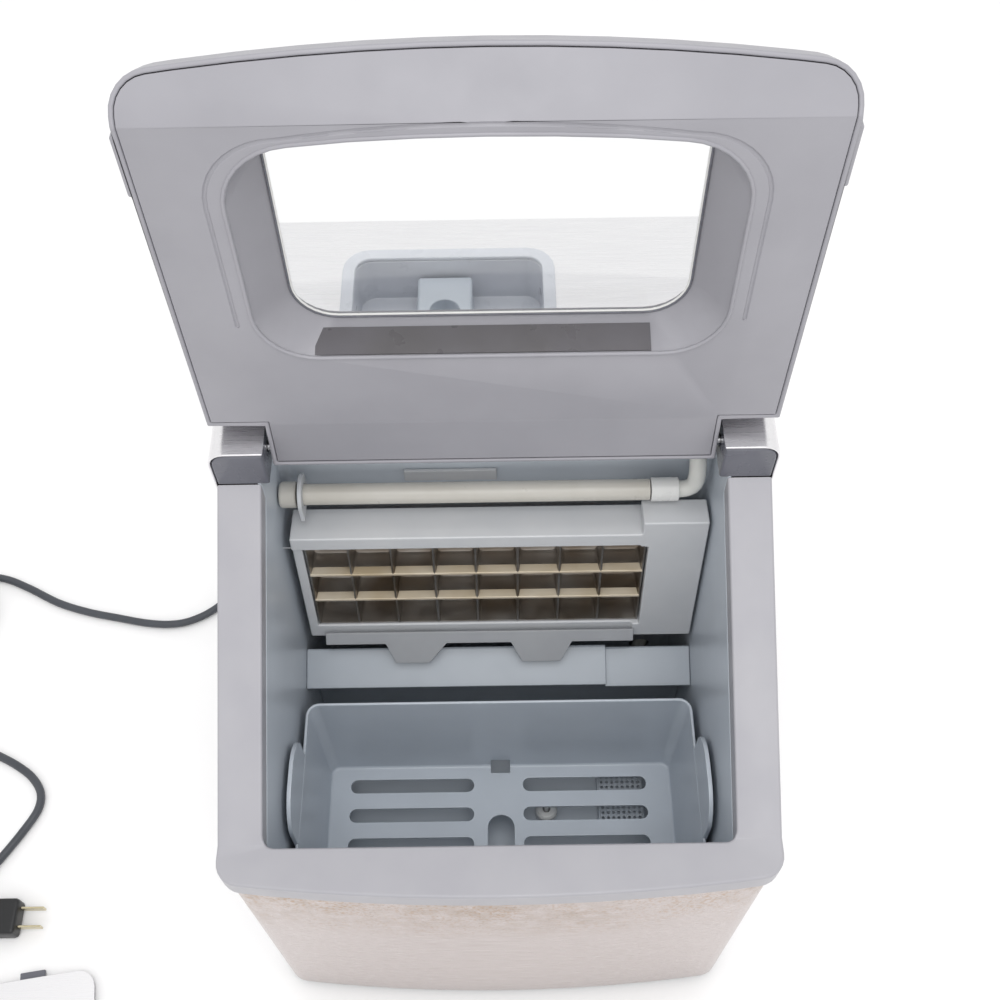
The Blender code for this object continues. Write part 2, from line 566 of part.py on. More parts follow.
# ---------------------------------------------------------------- refrigeration parts
def refrigeration():
    can = [(0, 0.1400), (0.0200, 0.1380), (0.0360, 0.1300), (0.0450, 0.1130), (0.0470, 0.1050),
           (0.0470, 0.0970), (0.0450, 0.0950), (0.0450, 0.0300), (0.0400, 0.0120),
           (0.0300, 0.0060), (0.0300, 0.0), (0, 0.0)]
    turned("compressor", can, Matrix.Translation((-0.0780, 0.1120, 0.0045)), ENAMEL, 28)

    condenser = box("condenser", (0.0150, 0.1500, 0.0300), (0.1320, 0.1700, 0.1600), FINS)
    for k in range(7):
        z = 0.0430 + 0.0170 * k
        cut(condenser, box(f"fin_gap_{k}", (0.0, 0.1460, z), (0.1400, 0.1550, z + 0.0060),
                           cutter=True))

    x, y, z = FAN_CENTRE
    shroud = [rectangle(x - 0.056, x + 0.056, z - 0.056, z + 0.056, 0.006),
              circle(x, z, 0.0500, 28)]
    frame = plate("fan_shroud", shroud, 0, 0.0160, BLACK)
    turn = Matrix(((1, 0, 0, 0), (0, 0, -1, y + 0.008), (0, 1, 0, 0), (0, 0, 0, 1)))
    bake(frame, turn)

    turned("fan_motor", [(0, 0.030), (0.015, 0.030), (0.015, 0.0), (0, 0.0)],
           facing((x, y - 0.0385, z), (0, 1, 0)), BLACK, 20)

    hub = rod("fan_rotor", (0, -0.0070, 0), (0, 0.0070, 0), 0.0140, BLACK, segments=20)
    for k in range(5):
        blade = box(f"blade_{k}", (-0.0120, -0.0008, 0.0120), (0.0120, 0.0008, 0.0470),
                    cutter=True)
        twist = Matrix.Rotation(radians(24), 4, "Z")
        bake(blade, Matrix.Rotation(2 * pi * k / 5, 4, "Y") @ twist)
        join(hub, blade)
    moving("fan_axis", [hub], FAN_CENTRE)

    hot = [(-0.0780, 0.1120, 0.1450), (-0.0780, 0.1120, 0.1560), (-0.0740, 0.1130, 0.1650),
           (-0.0600, 0.1200, 0.1720), (-0.0200, 0.1480, 0.1740), (0.0300, 0.1600, 0.1740),
           (0.0600, 0.1600, 0.1700), (0.0650, 0.1600, 0.1620)]
    tube("discharge_pipe", smooth(hot, 0.010), 0.0030, COPPER)
    cold = [(-0.0600, 0.0550, 0.2600), (-0.0600, 0.0640, 0.2600), (-0.0605, 0.0700, 0.2550),
            (-0.0610, 0.0720, 0.2450), (-0.0640, 0.0790, 0.2000), (-0.0700, 0.0850, 0.1700),
            (-0.0780, 0.0880, 0.1550), (-0.0790, 0.0880, 0.1455)]
    tube("suction_pipe", smooth(cold, 0.010), 0.0040, COPPER)

    spout = [(0.0080, 0.0300), (0.0080, 0.0), (0.0055, 0.0), (0.0055, 0.0300)]
    ring("drain_spout", spout, facing((-0.0300, 0.1560, 0.0300), (0, 1, 0)), PALE, 24)
    cap = [(0, 0.0140), (0.0110, 0.0140), (0.0120, 0.0130), (0.0120, 0.0), (0.0084, 0.0),
           (0.0084, 0.0105), (0, 0.0105)]
    turned("drain_cap", cap, facing((-0.0300, REAR_Y + 0.0012, 0.0300), (0, 1, 0)), DARK, 24)


# ---------------------------------------------------------------- deck: port and controls
def deck_parts():
    (x0, x1), (y0, y1) = PORT_X, PORT_Y
    ring_w = 0.0070
    lip = rectangle(x0, x1, y0, y1, 0.0150)
    inner = rectangle(x0 + ring_w, x1 - ring_w, y0 + ring_w, y1 - ring_w, 0.0090)
    plate("port_frame", [lip, inner], DECK_Z + GAP, DECK_Z + 0.0028, WHITE)

    wall = 0.0015
    hole = rectangle(x0 + 0.0045, x1 - 0.0045, y0 + 0.0045, y1 - 0.0045, 0.0112)
    well = plate("port_well", [hole], 0.3480, DECK_Z, LINER)
    space = rectangle(x0 + 0.0070, x1 - 0.0070, y0 + 0.0070, y1 - 0.0070, 0.0090)
    cut(well, plate("well_space", [space], 0.3480 + wall, 0.40, cutter=True))
    drop = rod("port_outlet", (-0.0600, 0.1000, 0.33), (-0.0600, 0.1000, 0.36), 0.0060, cutter=True)
    cut(well, drop)
    valve = box("port_valve_block", (-0.0420, 0.0880, 0.3500), (-0.0110, 0.1400, 0.3700), PALE,
                bevel=0.0020)
    bore = rod("valve_bore", (-0.0265, 0.1140, 0.3600), (-0.0265, 0.1140, 0.3800), 0.0085,
               cutter=True, segments=20)
    cut(valve, bore)

    panel = plate("control_panel", [rectangle(0.0460, 0.1300, 0.0640, 0.1000, 0.0130)],
                  DECK_Z + GAP, DECK_Z + 0.0022, BLACK)
    holes = [circle(0.0580 + 0.0160 * k, 0.0745, 0.0054, 20) for k in range(3)]
    cut(panel, plate("button_holes", holes, 0.37, 0.40, cutter=True))
    window = [rectangle(0.0995, 0.1215, 0.0705, 0.0915, 0.003)]
    cut(panel, plate("lens_hole", window, 0.37, 0.40, cutter=True))
    plate("display_lens", [rectangle(0.0998, 0.1212, 0.0708, 0.0912, 0.0027)],
          DECK_Z + 0.0004, DECK_Z + 0.0025, CLEAR)
    for k, name in enumerate(("power_button", "size_button", "timer_button")):
        profile = [(0, 0.0090), (0.0040, 0.0090), (0.0050, 0.0082), (0.0050, 0.0), (0, 0.0)]
        turned(name, profile, Matrix.Translation((0.0580 + 0.0160 * k, 0.0745, DECK_Z - 0.0055)),
               WHITE, 20)
    box("control_board", (0.0480, 0.0660, 0.3690), (0.1280, 0.0980, 0.3706), BOARD)


# ---------------------------------------------------------------- hinge and lid
def hinge_parts():
    for x, side in ((-1, "left"), (1, "right")):
        ends = sorted((x * 0.1173, x * (HALF_W - SHEET - GAP)))
        radii = (0, 0, 0, 0.0085) if x < 0 else (0, 0, 0.0085, 0)
        section = rectangle(*ends, BIN_TOP_Z + GAP, DECK_Z - SHEET - GAP, radii)
        block = plate(f"hinge_block_{side}", [section], -0.0587, -RIM_REAR[0] - 0.0003, DARK)
        bake(block, Matrix.Rotation(pi / 2, 4, "X"))
        axis = rod(f"pin_bore_{side}", (x * 0.1000, HINGE.y, HINGE.z), (x * 0.1360, HINGE.y, HINGE.z),
                   0.0029, cutter=True, segments=16)
        cut(block, axis)
        rod(f"hinge_pin_{side}", (x * 0.1050, HINGE.y, HINGE.z), (x * 0.1350, HINGE.y, HINGE.z),
            0.0025, STEEL, segments=16)


def slope_place(obj, offset=0.0):
    """From the plane of the lid's slope, where y runs up the slope, to the closed lid."""
    tilt = Matrix.Rotation(LID_SLOPE, 4, "X")
    return bake(obj, Matrix.Translation((0, *LID_BACK)) @ tilt @ Matrix.Translation((0, 0, offset)))


def window_outline(half_w, low, high, radius_low, radius_high, arch=0.0):
    """The window in the slope's plane; low and high are distances down the slope."""
    across = [0.5, 0.25, 0.0, -0.25, -0.5]
    top = [(half_w * t, -high - arch * (1 - t * t)) for t in across]
    points = [(half_w, -high), *top, (-half_w, -high), (-half_w, -low), (half_w, -low)]
    radii = [radius_high, *[0] * len(top), radius_high, radius_low, radius_low]
    return fillet(points, radii, 6)


def funnel(name, low_pair, high_pair, z0, z1):
    """A tapering wall with a hole through it: outer and inner outlines, low and high."""
    bm = bmesh.new()
    loops = [[bm.verts.new((x, y, z)) for x, y in outline]
             for z, pair in ((z0, low_pair), (z1, high_pair)) for outline in pair]
    low_out, low_in, high_out, high_in = loops
    count = len(low_out)
    for a, b in ((low_out, high_out), (high_out, high_in), (high_in, low_in), (low_in, low_out)):
        for k in range(count):
            bm.faces.new((a[k], a[(k + 1) % count], b[(k + 1) % count], b[k]))
    bmesh.ops.recalc_face_normals(bm, faces=bm.faces)
    return from_bmesh(name, bm, None, cutter=True)


def lid_side(drop, rear, front):
    """Side view of the closed lid between its underside plus drop and its top minus drop."""
    up = (-sin(LID_SLOPE), cos(LID_SLOPE))
    slope = (-cos(LID_SLOPE), -sin(LID_SLOPE))
    thick = LID_THICK - drop
    base = (LID_BACK[0] + up[0] * thick, LID_BACK[1] + up[1] * thick)
    top_z = LID_TOP_Z - drop
    run = (base[1] - top_z) / -slope[1]
    top_back = (base[0] + slope[0] * run, top_z)
    length = hypot(LID_CREASE[0] - LID_BACK[0], LID_CREASE[1] - LID_BACK[1]) + 0.0060
    top_crease = (base[0] + slope[0] * length, base[1] + slope[1] * length)
    return [(rear, TONGUE_Z), LID_BACK, LID_CREASE, (front, LID_FRONT[1]),
            (front, top_crease[1] + 0.0010), top_crease, top_back, (rear, top_z)]


def lobe_relief(name, side, inner_x, back):
    """Cuts the lid's two rear lobes so that they swing clear of the hinge blocks and the deck."""
    line = [(-0.0170, -0.0134), (-0.0202, -0.0045), (-0.0246, 0.0129)]
    line = [(y - back, z) for y, z in line]
    outline = [(line[0][0], -0.05), *line, (line[-1][0], 0.05), (0.05, 0.05), (0.05, -0.05)]
    return plate(name, [outline], *sorted((side * inner_x, side * 0.16)), cutter=True, axis="X")


def lid():
    cover = plate("lid_outer_cover", [lid_side(0, TONGUE_Y, LID_FRONT[0])], -0.150, 0.150, GREY,
                  axis="X")
    outline = bowed(LID_HALF_W, 0.05, LID_FRONT[0], LID_BOW, LID_CORNER_R)
    boolean(cover, plate("lid_plan", [outline], -0.2, 0.1, cutter=True), "INTERSECT")
    settle(cover)
    inside = lid_side(SKIN, TONGUE_Y - SKIN, -0.25)
    inside[0] = (TONGUE_Y - SKIN, -0.05)
    inside[1] = (LID_BACK[0], -0.05)
    inside[2] = (LID_CREASE[0], -0.20)
    inside[3] = (-0.25, -0.20)
    core = plate("lid_core", [inside], -0.3, 0.3, cutter=True, axis="X")
    inner_plan = bowed(LID_HALF_W, 0.05, LID_FRONT[0], LID_BOW, LID_CORNER_R, inset=SKIN)
    boolean(core, plate("lid_inner_plan", [inner_plan], -0.3, 0.2, cutter=True), "INTERSECT")
    settle(core)
    for x in (-1, 1):
        cut(core, lobe_relief(f"skirt_{x}", x, TONGUE_HALF_W - SKIN, SKIN + GAP))
    settle(core)
    cut(cover, core)
    lobes = [lobe_relief(f"lobe_{x}", x, TONGUE_HALF_W, 0.0) for x in (-1, 1)]
    cut(cover, *lobes)
    pane_hole = window_outline(0.0935, 0.0566, 0.1721, 0.0215, 0.0155, 0.0060)
    opening = slope_place(plate("pane_hole", [pane_hole], 0.0, 0.06, cutter=True))
    cut(cover, opening)
    pins = [rod(f"lid_bore_{x}", (x * 0.1000, 0, 0), (x * 0.1300, 0, 0), 0.0029, cutter=True,
                segments=16) for x in (-1, 1)]
    cut(cover, *pins)

    for x, name in ((-1, "left"), (1, "right")):
        ends = sorted((x * (LID_HALF_W - 0.0010), x * (LID_HALF_W + 0.0019)))
        grip = box(f"grip_{name}", (ends[0], -0.0300, 0.0010), (ends[1], 0.0, 0.0170), cutter=True)
        slope_place(bake(grip, Matrix.Translation((0, -0.1480, 0.0))))
        join(cover, grip)

    under = lid_side(0, TONGUE_Y - SKIN - GAP, -0.2105)
    sheet = 0.0025
    rise = [(y, z + sheet) for y, z in under[:4]]
    skin = plate("lid_inner_frame", [[*under[:4], *rise[::-1]]], -0.150, 0.150, GREY, axis="X")
    inner = bowed(LID_HALF_W, 0.05, LID_FRONT[0], LID_BOW, LID_CORNER_R, inset=SKIN + GAP)
    boolean(skin, plate("inner_frame_plan", [inner], -0.3, 0.2, cutter=True), "INTERSECT")
    for x in (-1, 1):
        cut(skin, lobe_relief(f"frame_lobe_{x}", x, TONGUE_HALF_W - SKIN - GAP, SKIN + 2 * GAP))
    wide = window_outline(0.1081, 0.0504, 0.1707, 0.0280, 0.0330, 0.0068)
    wide_out = window_outline(0.1103, 0.0482, 0.1729, 0.0302, 0.0352, 0.0068)
    between = window_outline(0.1085, 0.0500, 0.1711, 0.0284, 0.0334, 0.0068)
    tight = window_outline(0.0929, 0.0572, 0.1715, 0.0210, 0.0150, 0.0060)
    tight_out = window_outline(0.0951, 0.0550, 0.1737, 0.0232, 0.0172, 0.0060)
    cut(skin, slope_place(plate("frame_hole", [between], -0.02, 0.02, cutter=True)))
    well = funnel("window_well", (wide_out, wide), (tight_out, tight), 0.0002, 0.0208)
    join(skin, slope_place(well))

    pane = window_outline(0.0979, 0.0522, 0.1765, 0.0250, 0.0200, 0.0060)
    window = slope_place(plate("lid_window", [pane], 0.0211, 0.0229, CLEAR))
    moving("lid_axis", [cover, skin, window], HINGE, -LID_OPEN)


# ---------------------------------------------------------------- loose cover of the port
def port_cover():
    turn = Matrix.Translation((-0.3323, -0.2071, TABLE_Z + GAP)) @ Matrix.Rotation(radians(8.4), 4, "Z")
    half_x, half_y = 0.0570, 0.0440
    base_plate = plate("port_cover_base", [rectangle(-half_x + 0.001, half_x - 0.001,
                                                     -half_y + 0.001, half_y - 0.001, 0.0110)],
                       0.0, 0.0048, DARK)
    join(base_plate, box("cover_tab", (0.0055, half_y - 0.004, 0.0010), (0.0225, 0.0490, 0.0040),
                         cutter=True))
    settle(base_plate)
    bake(base_plate, turn)
    top = plate("port_cover", [rectangle(-half_x, half_x, -half_y, half_y, 0.0120)],
                0.0051, 0.0063, STEEL)
    bake(top, turn)


# ---------------------------------------------------------------- supply cord
CORD_ROUTE = [
    (-0.1050, 0.2053, 0.0300), (-0.1056, 0.2200, 0.0290), (-0.1100, 0.2370, 0.0220),
    (-0.1220, 0.2500, 0.0110), (-0.1400, 0.2545, 0.0020), (-0.1600, 0.2470, CORD_Z),
    (-0.1780, 0.2260, CORD_Z), (-0.1905, 0.1950, CORD_Z), (-0.2020, 0.1650, CORD_Z),
    (-0.2150, 0.1410, CORD_Z), (-0.2324, 0.1229, CORD_Z), (-0.2499, 0.1133, CORD_Z),
    (-0.2661, 0.1104, CORD_Z), (-0.2853, 0.1118, CORD_Z), (-0.3098, 0.1169, CORD_Z),
    (-0.3347, 0.1226, CORD_Z), (-0.3601, 0.1313, CORD_Z), (-0.3869, 0.1453, CORD_Z),
    (-0.4085, 0.1545, CORD_Z), (-0.4298, 0.1570, CORD_Z),
]
LEAD_ROUTE = [
    (-0.4925, 0.0965, CORD_Z + 0.0022), (-0.4885, 0.0750, CORD_Z), (-0.4740, 0.0500, CORD_Z),
    (-0.4500, 0.0300, CORD_Z), (-0.4160, 0.0150, CORD_Z), (-0.3980, 0.0078, CORD_Z),
    (-0.3810, 0.0002, CORD_Z),
    (-0.3661, -0.0076, CORD_Z), (-0.3531, -0.0170, CORD_Z), (-0.3446, -0.0290, CORD_Z),
    (-0.3442, -0.0420, CORD_Z), (-0.3521, -0.0581, CORD_Z), (-0.3640, -0.0770, CORD_Z),
    (-0.3715, -0.0870, CORD_Z), (-0.3800, -0.0930, CORD_Z), (-0.3905, -0.0942, CORD_Z),
    (-0.4020, -0.0895, CORD_Z), (-0.4180, -0.0790, CORD_Z), (-0.4340, -0.0750, CORD_Z),
    (-0.4478, -0.0793, CORD_Z), (-0.4564, -0.0911, CORD_Z), (-0.4564, -0.1055, CORD_Z),
    (-0.4478, -0.1172, CORD_Z), (-0.4340, -0.1215, -0.0006), (-0.4190, -0.1215, 0.0015),
    (-0.4045, -0.1215, 0.0030),
]


def supply_cord():
    gland = [(0, 0.0460), (0.0042, 0.0460), (0.0066, 0.0180), (0.0090, 0.0176), (0.0090, 0.0155),
             (0.0060, 0.0155), (0.0060, 0.0), (0, 0.0)]
    turned("cord_gland", gland, facing((-0.1050, 0.1590, 0.0300), (0, 1, 0)), BLACK, 20)
    tube("power_cord", smooth(CORD_ROUTE, 0.0085), CORD_R, CORD)
    tube("plug_lead", smooth(LEAD_ROUTE, 0.0085), CORD_R, CORD)
    section = [(0.0420, 0.0120), (0.0420, 0.0), (0.0240, 0.0), (0.0240, 0.0120)]
    ring("cord_coil", section, Matrix.Translation(COIL_CENTRE), CORD, 40)

    y, z = -0.1215, 0.0038
    body = box("plug_body", (-0.3740, y - 0.0125, z - 0.0080), (-0.3400, y + 0.0125, z + 0.0080),
               BLACK, bevel=0.0030)
    join(body, rod("plug_relief", (-0.4042, y, z - 0.0005), (-0.3720, y, z), 0.0040, cutter=True,
                   segments=16, radius_end=0.0066))
    for k, name in ((-1, "plug_prong_left"), (1, "plug_prong_right")):
        box(name, (-0.3397, y + k * 0.00635 - 0.00075, z - 0.00315),
            (-0.3235, y + k * 0.00635 + 0.00075, z + 0.00315), BRASS)


base()
casing()
bin_parts()
basket()
evaporator()
water_parts()
refrigeration()
deck_parts()
hinge_parts()
lid()
port_cover()
supply_cord()
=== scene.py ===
# %% [markdown]
# # A countertop ice maker, standing open
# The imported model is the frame: every piece here is made in metres around it, and rides on one
# of its bodies. This lesson adds what the plain solids leave out: soft edges, the grid's cells,
# the perforations, the cord at its real length, and a material for every surface.

# %% Load the frame
import json
from math import atan2, cos, dist, hypot, pi, radians, sin

import bmesh
import bpy
from mathutils import Matrix, Vector


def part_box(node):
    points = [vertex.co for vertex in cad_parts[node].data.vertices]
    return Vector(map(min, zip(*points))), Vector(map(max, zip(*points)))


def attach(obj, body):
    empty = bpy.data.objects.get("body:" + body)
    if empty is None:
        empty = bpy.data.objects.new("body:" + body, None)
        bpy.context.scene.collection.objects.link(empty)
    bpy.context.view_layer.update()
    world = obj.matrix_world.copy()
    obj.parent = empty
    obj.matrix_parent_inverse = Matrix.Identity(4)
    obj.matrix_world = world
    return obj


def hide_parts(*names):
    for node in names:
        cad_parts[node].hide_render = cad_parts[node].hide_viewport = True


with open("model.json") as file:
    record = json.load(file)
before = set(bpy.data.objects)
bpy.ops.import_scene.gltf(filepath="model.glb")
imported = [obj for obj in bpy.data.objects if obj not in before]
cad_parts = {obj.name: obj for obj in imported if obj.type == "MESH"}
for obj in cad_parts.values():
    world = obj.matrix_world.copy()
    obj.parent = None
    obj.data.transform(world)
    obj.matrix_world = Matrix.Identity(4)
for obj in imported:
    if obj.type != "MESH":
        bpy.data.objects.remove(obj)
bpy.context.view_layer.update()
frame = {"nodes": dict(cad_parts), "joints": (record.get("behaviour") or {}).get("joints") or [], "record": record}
MM = 0.001
WELD = 0.01 * MM                        # points closer than this are one point

# %% [markdown]
# ## Where things are
# Positions come from the frame. The table is the underside of the feet, the lid turns about the
# hinge stated in the record, and it stands open by the joint's whole range.

# %% Places read from the frame
TABLE_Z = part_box("foot_front_left")[0][2]
joints = {joint["name"]: joint for joint in frame["joints"]}
HINGE = Vector(joints["lid_hinge"]["pos_m"])
LID_OPEN = radians(121.5)
LID_SLOPE = radians(29.07)              # of the closed lid's window plane
LID_BACK = Vector((0.0, -0.0170, -0.0134))      # where that plane starts, from the hinge
rim_high = Vector(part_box("top_rim")[1])
tub_low, tub_high = (Vector(corner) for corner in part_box("ice_tub"))
print("table at", round(TABLE_Z, 4), "hinge at", tuple(round(v, 4) for v in HINGE))

# %% [markdown]
# ## The camera
# A camera above and in front looks down steeply into the bin, with a slight roll. Its lens is
# long enough that the lid's sides converge gently.

# %% Camera
LENS_MM = 44.30
PITCH = radians(57.49)          # below the horizon
YAW = radians(-0.22)
ROLL = radians(1.04)
CAMERA_AT = Vector((0.00409, -0.34283, 0.88941))

camera_data = bpy.data.cameras.new("camera")
camera_data.lens = LENS_MM
camera_data.sensor_width = 36.0
camera = bpy.data.objects.new("camera", camera_data)
bpy.context.scene.collection.objects.link(camera)
turn = Matrix.Rotation(-YAW, 4, "Z") @ Matrix.Rotation(pi / 2 - PITCH, 4, "X")
camera.matrix_world = Matrix.Translation(CAMERA_AT) @ turn @ Matrix.Rotation(-ROLL, 4, "Z")
bpy.context.scene.camera = camera
print("camera stands", round((CAMERA_AT - HINGE).length, 2), "m from the hinge")

# %% [markdown]
# ## Node helpers
# Colours are written as sRGB hex, as a maker would pick them from a chart, and turned to linear.
# One function adds any node, with its settings, its input values and its links.

# %% Helpers for materials
def linear(hex_colour):
    """sRGB hex to linear red, green, blue and alpha."""
    parts = [int(hex_colour[k:k + 2], 16) / 255 for k in (1, 3, 5)]
    return (*[c / 12.92 if c <= 0.04045 else ((c + 0.055) / 1.055) ** 2.4 for c in parts], 1.0)


def add_node(tree, kind, values=None, links=None, **settings):
    """One node with its settings, the values of its inputs, and what its inputs are linked to."""
    made = tree.nodes.new(kind)
    for key, value in settings.items():
        setattr(made, key, value)
    for key, value in (values or {}).items():
        made.inputs[key].default_value = value
    for key, source in (links or {}).items():
        tree.links.new(source, made.inputs[key])
    return made


def new_material(name, **values):
    """A Principled material with uniform values on its own sockets."""
    material = bpy.data.materials.new(name)
    material.use_nodes = True
    shader = material.node_tree.nodes["Principled BSDF"]
    for key, value in values.items():
        shader.inputs[key.replace("_", " ")].default_value = value
    return material, material.node_tree, shader


def object_noise(tree, size_mm, detail=2.0, stretch=(1, 1, 1)):
    """Noise on object coordinates whose grains are about size_mm across; stretch lengthens them."""
    place = add_node(tree, "ShaderNodeTexCoord")
    scale = tuple(1 / (size_mm * MM * s) for s in stretch)
    mapping = add_node(tree, "ShaderNodeMapping", {"Scale": scale},
                       {"Vector": place.outputs["Object"]})
    return add_node(tree, "ShaderNodeTexNoise", {"Scale": 1.0, "Detail": detail},
                    {"Vector": mapping.outputs["Vector"]})


def between(tree, factor, low, high):
    """A float from low to high as factor goes from 0.3 to 0.7, where noise mostly lies."""
    made = add_node(tree, "ShaderNodeMapRange", {"From Min": 0.3, "From Max": 0.7, "To Min": low,
                                                 "To Max": high}, {"Value": factor})
    return made.outputs["Result"]


def blend_colours(tree, factor, first, second):
    """A mix of two colours, each a hex string or another node's output."""
    mix = add_node(tree, "ShaderNodeMix", data_type="RGBA")
    for socket, colour in ((6, first), (7, second)):
        if isinstance(colour, str):
            mix.inputs[socket].default_value = linear(colour)
        else:
            tree.links.new(colour, mix.inputs[socket])
    tree.links.new(factor, mix.inputs[0])
    return mix.outputs[2]


def bump(tree, shader, height, depth_mm, strength=0.4):
    """Drives the shader's normal from a height that is depth_mm deep."""
    made = add_node(tree, "ShaderNodeBump", {"Strength": strength, "Distance": depth_mm * MM},
                    {"Height": height})
    tree.links.new(made.outputs["Normal"], shader.inputs["Normal"])


# %% [markdown]
# ## Moulded plastics
# The housing is ABS, injection moulded against a finely etched tool. The etching shows as a
# faint grain, real pits being about 0.1 mm: here they are drawn at 0.35 mm, the finest that
# shows. Large soft clouds in the colour and in the gloss are flow and handling marks.

# %% Plastic finishes
def moulded(name, light, dark, roughness, grain_mm=0.35, grain_depth=0.02, gloss_swing=0.08,
            **values):
    """Moulded plastic: cloudy colour between two close shades, uneven gloss, a fine etched grain."""
    material, tree, shader = new_material(name, IOR=1.50, **values)
    clouds = object_noise(tree, 38.0, 3.0)
    factor = between(tree, clouds.outputs["Fac"], 0.0, 1.0)
    tree.links.new(blend_colours(tree, factor, light, dark), shader.inputs["Base Color"])
    smears = object_noise(tree, 14.0, 4.0)
    rough = between(tree, smears.outputs["Fac"], roughness - gloss_swing, roughness + gloss_swing)
    tree.links.new(rough, shader.inputs["Roughness"])
    grain = object_noise(tree, grain_mm, 1.0)
    bump(tree, shader, grain.outputs["Fac"], grain_depth)
    return material


HOUSING = moulded("abs_housing_light_grey", "#9A999F", "#95949A", 0.40, gloss_swing=0.05)
RIM_GREY = moulded("abs_rim_light_grey", "#A5A4A9", "#9F9EA4", 0.38, gloss_swing=0.05)
FLAP_GREY = moulded("abs_flap_grey", "#A2A4A7", "#999B9F", 0.42, gloss_swing=0.04)
LINER = moulded("abs_liner_blue_grey", "#C3CAD2", "#BFC6CE", 0.32, grain_depth=0.004,
                gloss_swing=0.01)
PALE = moulded("polypropylene_pale_grey", "#C9CACC", "#C1C3C6", 0.42, gloss_swing=0.04)
CREAM = moulded("polypropylene_cream", "#C9C6BF", "#BFBBB2", 0.34)
WHITE = moulded("abs_white", "#E2E2E0", "#D6D6D4", 0.30, grain_depth=0.008)
HINGE_GREY = moulded("abs_hinge_dark_grey", "#6A6B73", "#5B5C64", 0.26)
PORT_WHITE = moulded("abs_port_white", "#D3D6DC", "#CBCED5", 0.32, grain_depth=0.008)
# painted shade: this darker grey is for the plate on the well's floor, standing in for the shade there
WELL_FLOOR_PAINTED_SHADE = moulded("abs_well_floor_grey", "#615F64", "#595759", 0.30, gloss_swing=0.04)
CHUTE_GREY = moulded("abs_chute_blue_grey", "#A4ABB3", "#9FA6AE", 0.34, gloss_swing=0.02)
DARK_BACK = moulded("abs_back_dark_grey", "#3E3F44", "#36373B", 0.45)
BLACK_ABS = moulded("abs_black", "#17181A", "#121214", 0.38)
PIANO_BLACK = moulded("acrylic_black_gloss", "#0D0D0F", "#09090A", 0.12, grain_depth=0.0,
                      gloss_swing=0.03)
print("moulded plastics ready")

# %% [markdown]
# ## Brushed stainless steel
# The sheet is belt-brushed, so its scratches all run one way. Noise stretched sixtyfold along
# that way varies the gloss and the height. The same finish with other colours and other
# stretches makes the turned pins, the drawn copper, the fins and the zinc-coated pan.

# %% Brushed and drawn metals
def brushed(name, light, dark, roughness, along=(60, 1, 1), line_mm=0.45):
    """Sheet metal with brushing along one axis."""
    material, tree, shader = new_material(name, Metallic=1.0)
    lines = object_noise(tree, line_mm, 3.0, along)
    factor = between(tree, lines.outputs["Fac"], 0.0, 1.0)
    colour = blend_colours(tree, factor, light, dark)
    tree.links.new(colour, shader.inputs["Base Color"])
    rough = between(tree, lines.outputs["Fac"], roughness - 0.06, roughness + 0.08)
    tree.links.new(rough, shader.inputs["Roughness"])
    bump(tree, shader, lines.outputs["Fac"], 0.03, 0.25)
    return material, tree, shader, colour


STEEL = brushed("stainless_brushed_across", "#F1F0F1", "#E6E5E7", 0.30)[0]
PIN_STEEL = brushed("steel_pin_turned", "#C8C8CA", "#A9A9AC", 0.22, (1, 20, 20), 0.3)[0]
COPPER = brushed("copper_tube_drawn", "#C98A62", "#A9683F", 0.30, (30, 1, 1), 0.8)[0]
BLADE = brushed("brass_blade_plated", "#D8CFB4", "#B9AE8E", 0.25, (20, 1, 1), 0.4)[0]
ALUMINIUM = brushed("aluminium_fin_stock", "#C9CCCE", "#AFB2B5", 0.38, (20, 1, 1), 0.8)[0]
ZINC = brushed("zinc_coated_pan", "#B4B6B8", "#9A9C9F", 0.48, (1, 1, 1), 6.0)[0]
print("six plain metals ready")

# %% [markdown]
# ## The splashed front
# Water has splashed on the front sheet and has dried there. A wide haze, golden specks and a few
# darker ones lie over the brushed colour, and all fade out 10 cm below the top edge. An image of
# stains would tile and would need unwrapping, and noise needs neither.

# %% Splashed front sheet
def stained_steel():
    """The front sheet: brushed steel under dried golden splashes, thickest near the top."""
    material, tree, shader, steel = brushed("stainless_front_splashed", "#C8BFBD", "#BCB2AF", 0.30,
                                            (60, 1, 1))
    place = add_node(tree, "ShaderNodeTexCoord")
    axes = add_node(tree, "ShaderNodeSeparateXYZ", None, {"Vector": place.outputs["Object"]})
    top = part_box("front_panel")[1][2]
    height = add_node(tree, "ShaderNodeMapRange", {"From Min": top - 0.10, "From Max": top - 0.012},
                      {"Value": axes.outputs["Z"]}).outputs["Result"]

    def spots(size_mm, low, high, colour, under):
        """Splashes of one size, fading downwards, over what is already there."""
        specks = object_noise(tree, size_mm, 6.0)
        patches = object_noise(tree, 12 * size_mm, 3.0)
        here = add_node(tree, "ShaderNodeMapRange", {"From Min": low, "From Max": high},
                        {"Value": specks.outputs["Fac"]}).outputs["Result"]
        dense = add_node(tree, "ShaderNodeMath", None, {0: here, 1: height}, operation="MULTIPLY")
        thin = between(tree, patches.outputs["Fac"], 0.0, 1.0)
        mask = add_node(tree, "ShaderNodeMath", None, {0: dense.outputs[0], 1: thin},
                        operation="MULTIPLY")
        return blend_colours(tree, mask.outputs[0], under, colour)

    clouded = spots(9.0, 0.36, 0.62, "#9A8672", steel)
    golden = spots(2.2, 0.50, 0.62, "#A0732F", clouded)
    dark = spots(1.6, 0.60, 0.68, "#6E5A48", golden)
    tree.links.new(dark, shader.inputs["Base Color"])
    return material


FRONT_STEEL = stained_steel()
print("front sheet fades out 100 mm below its top")
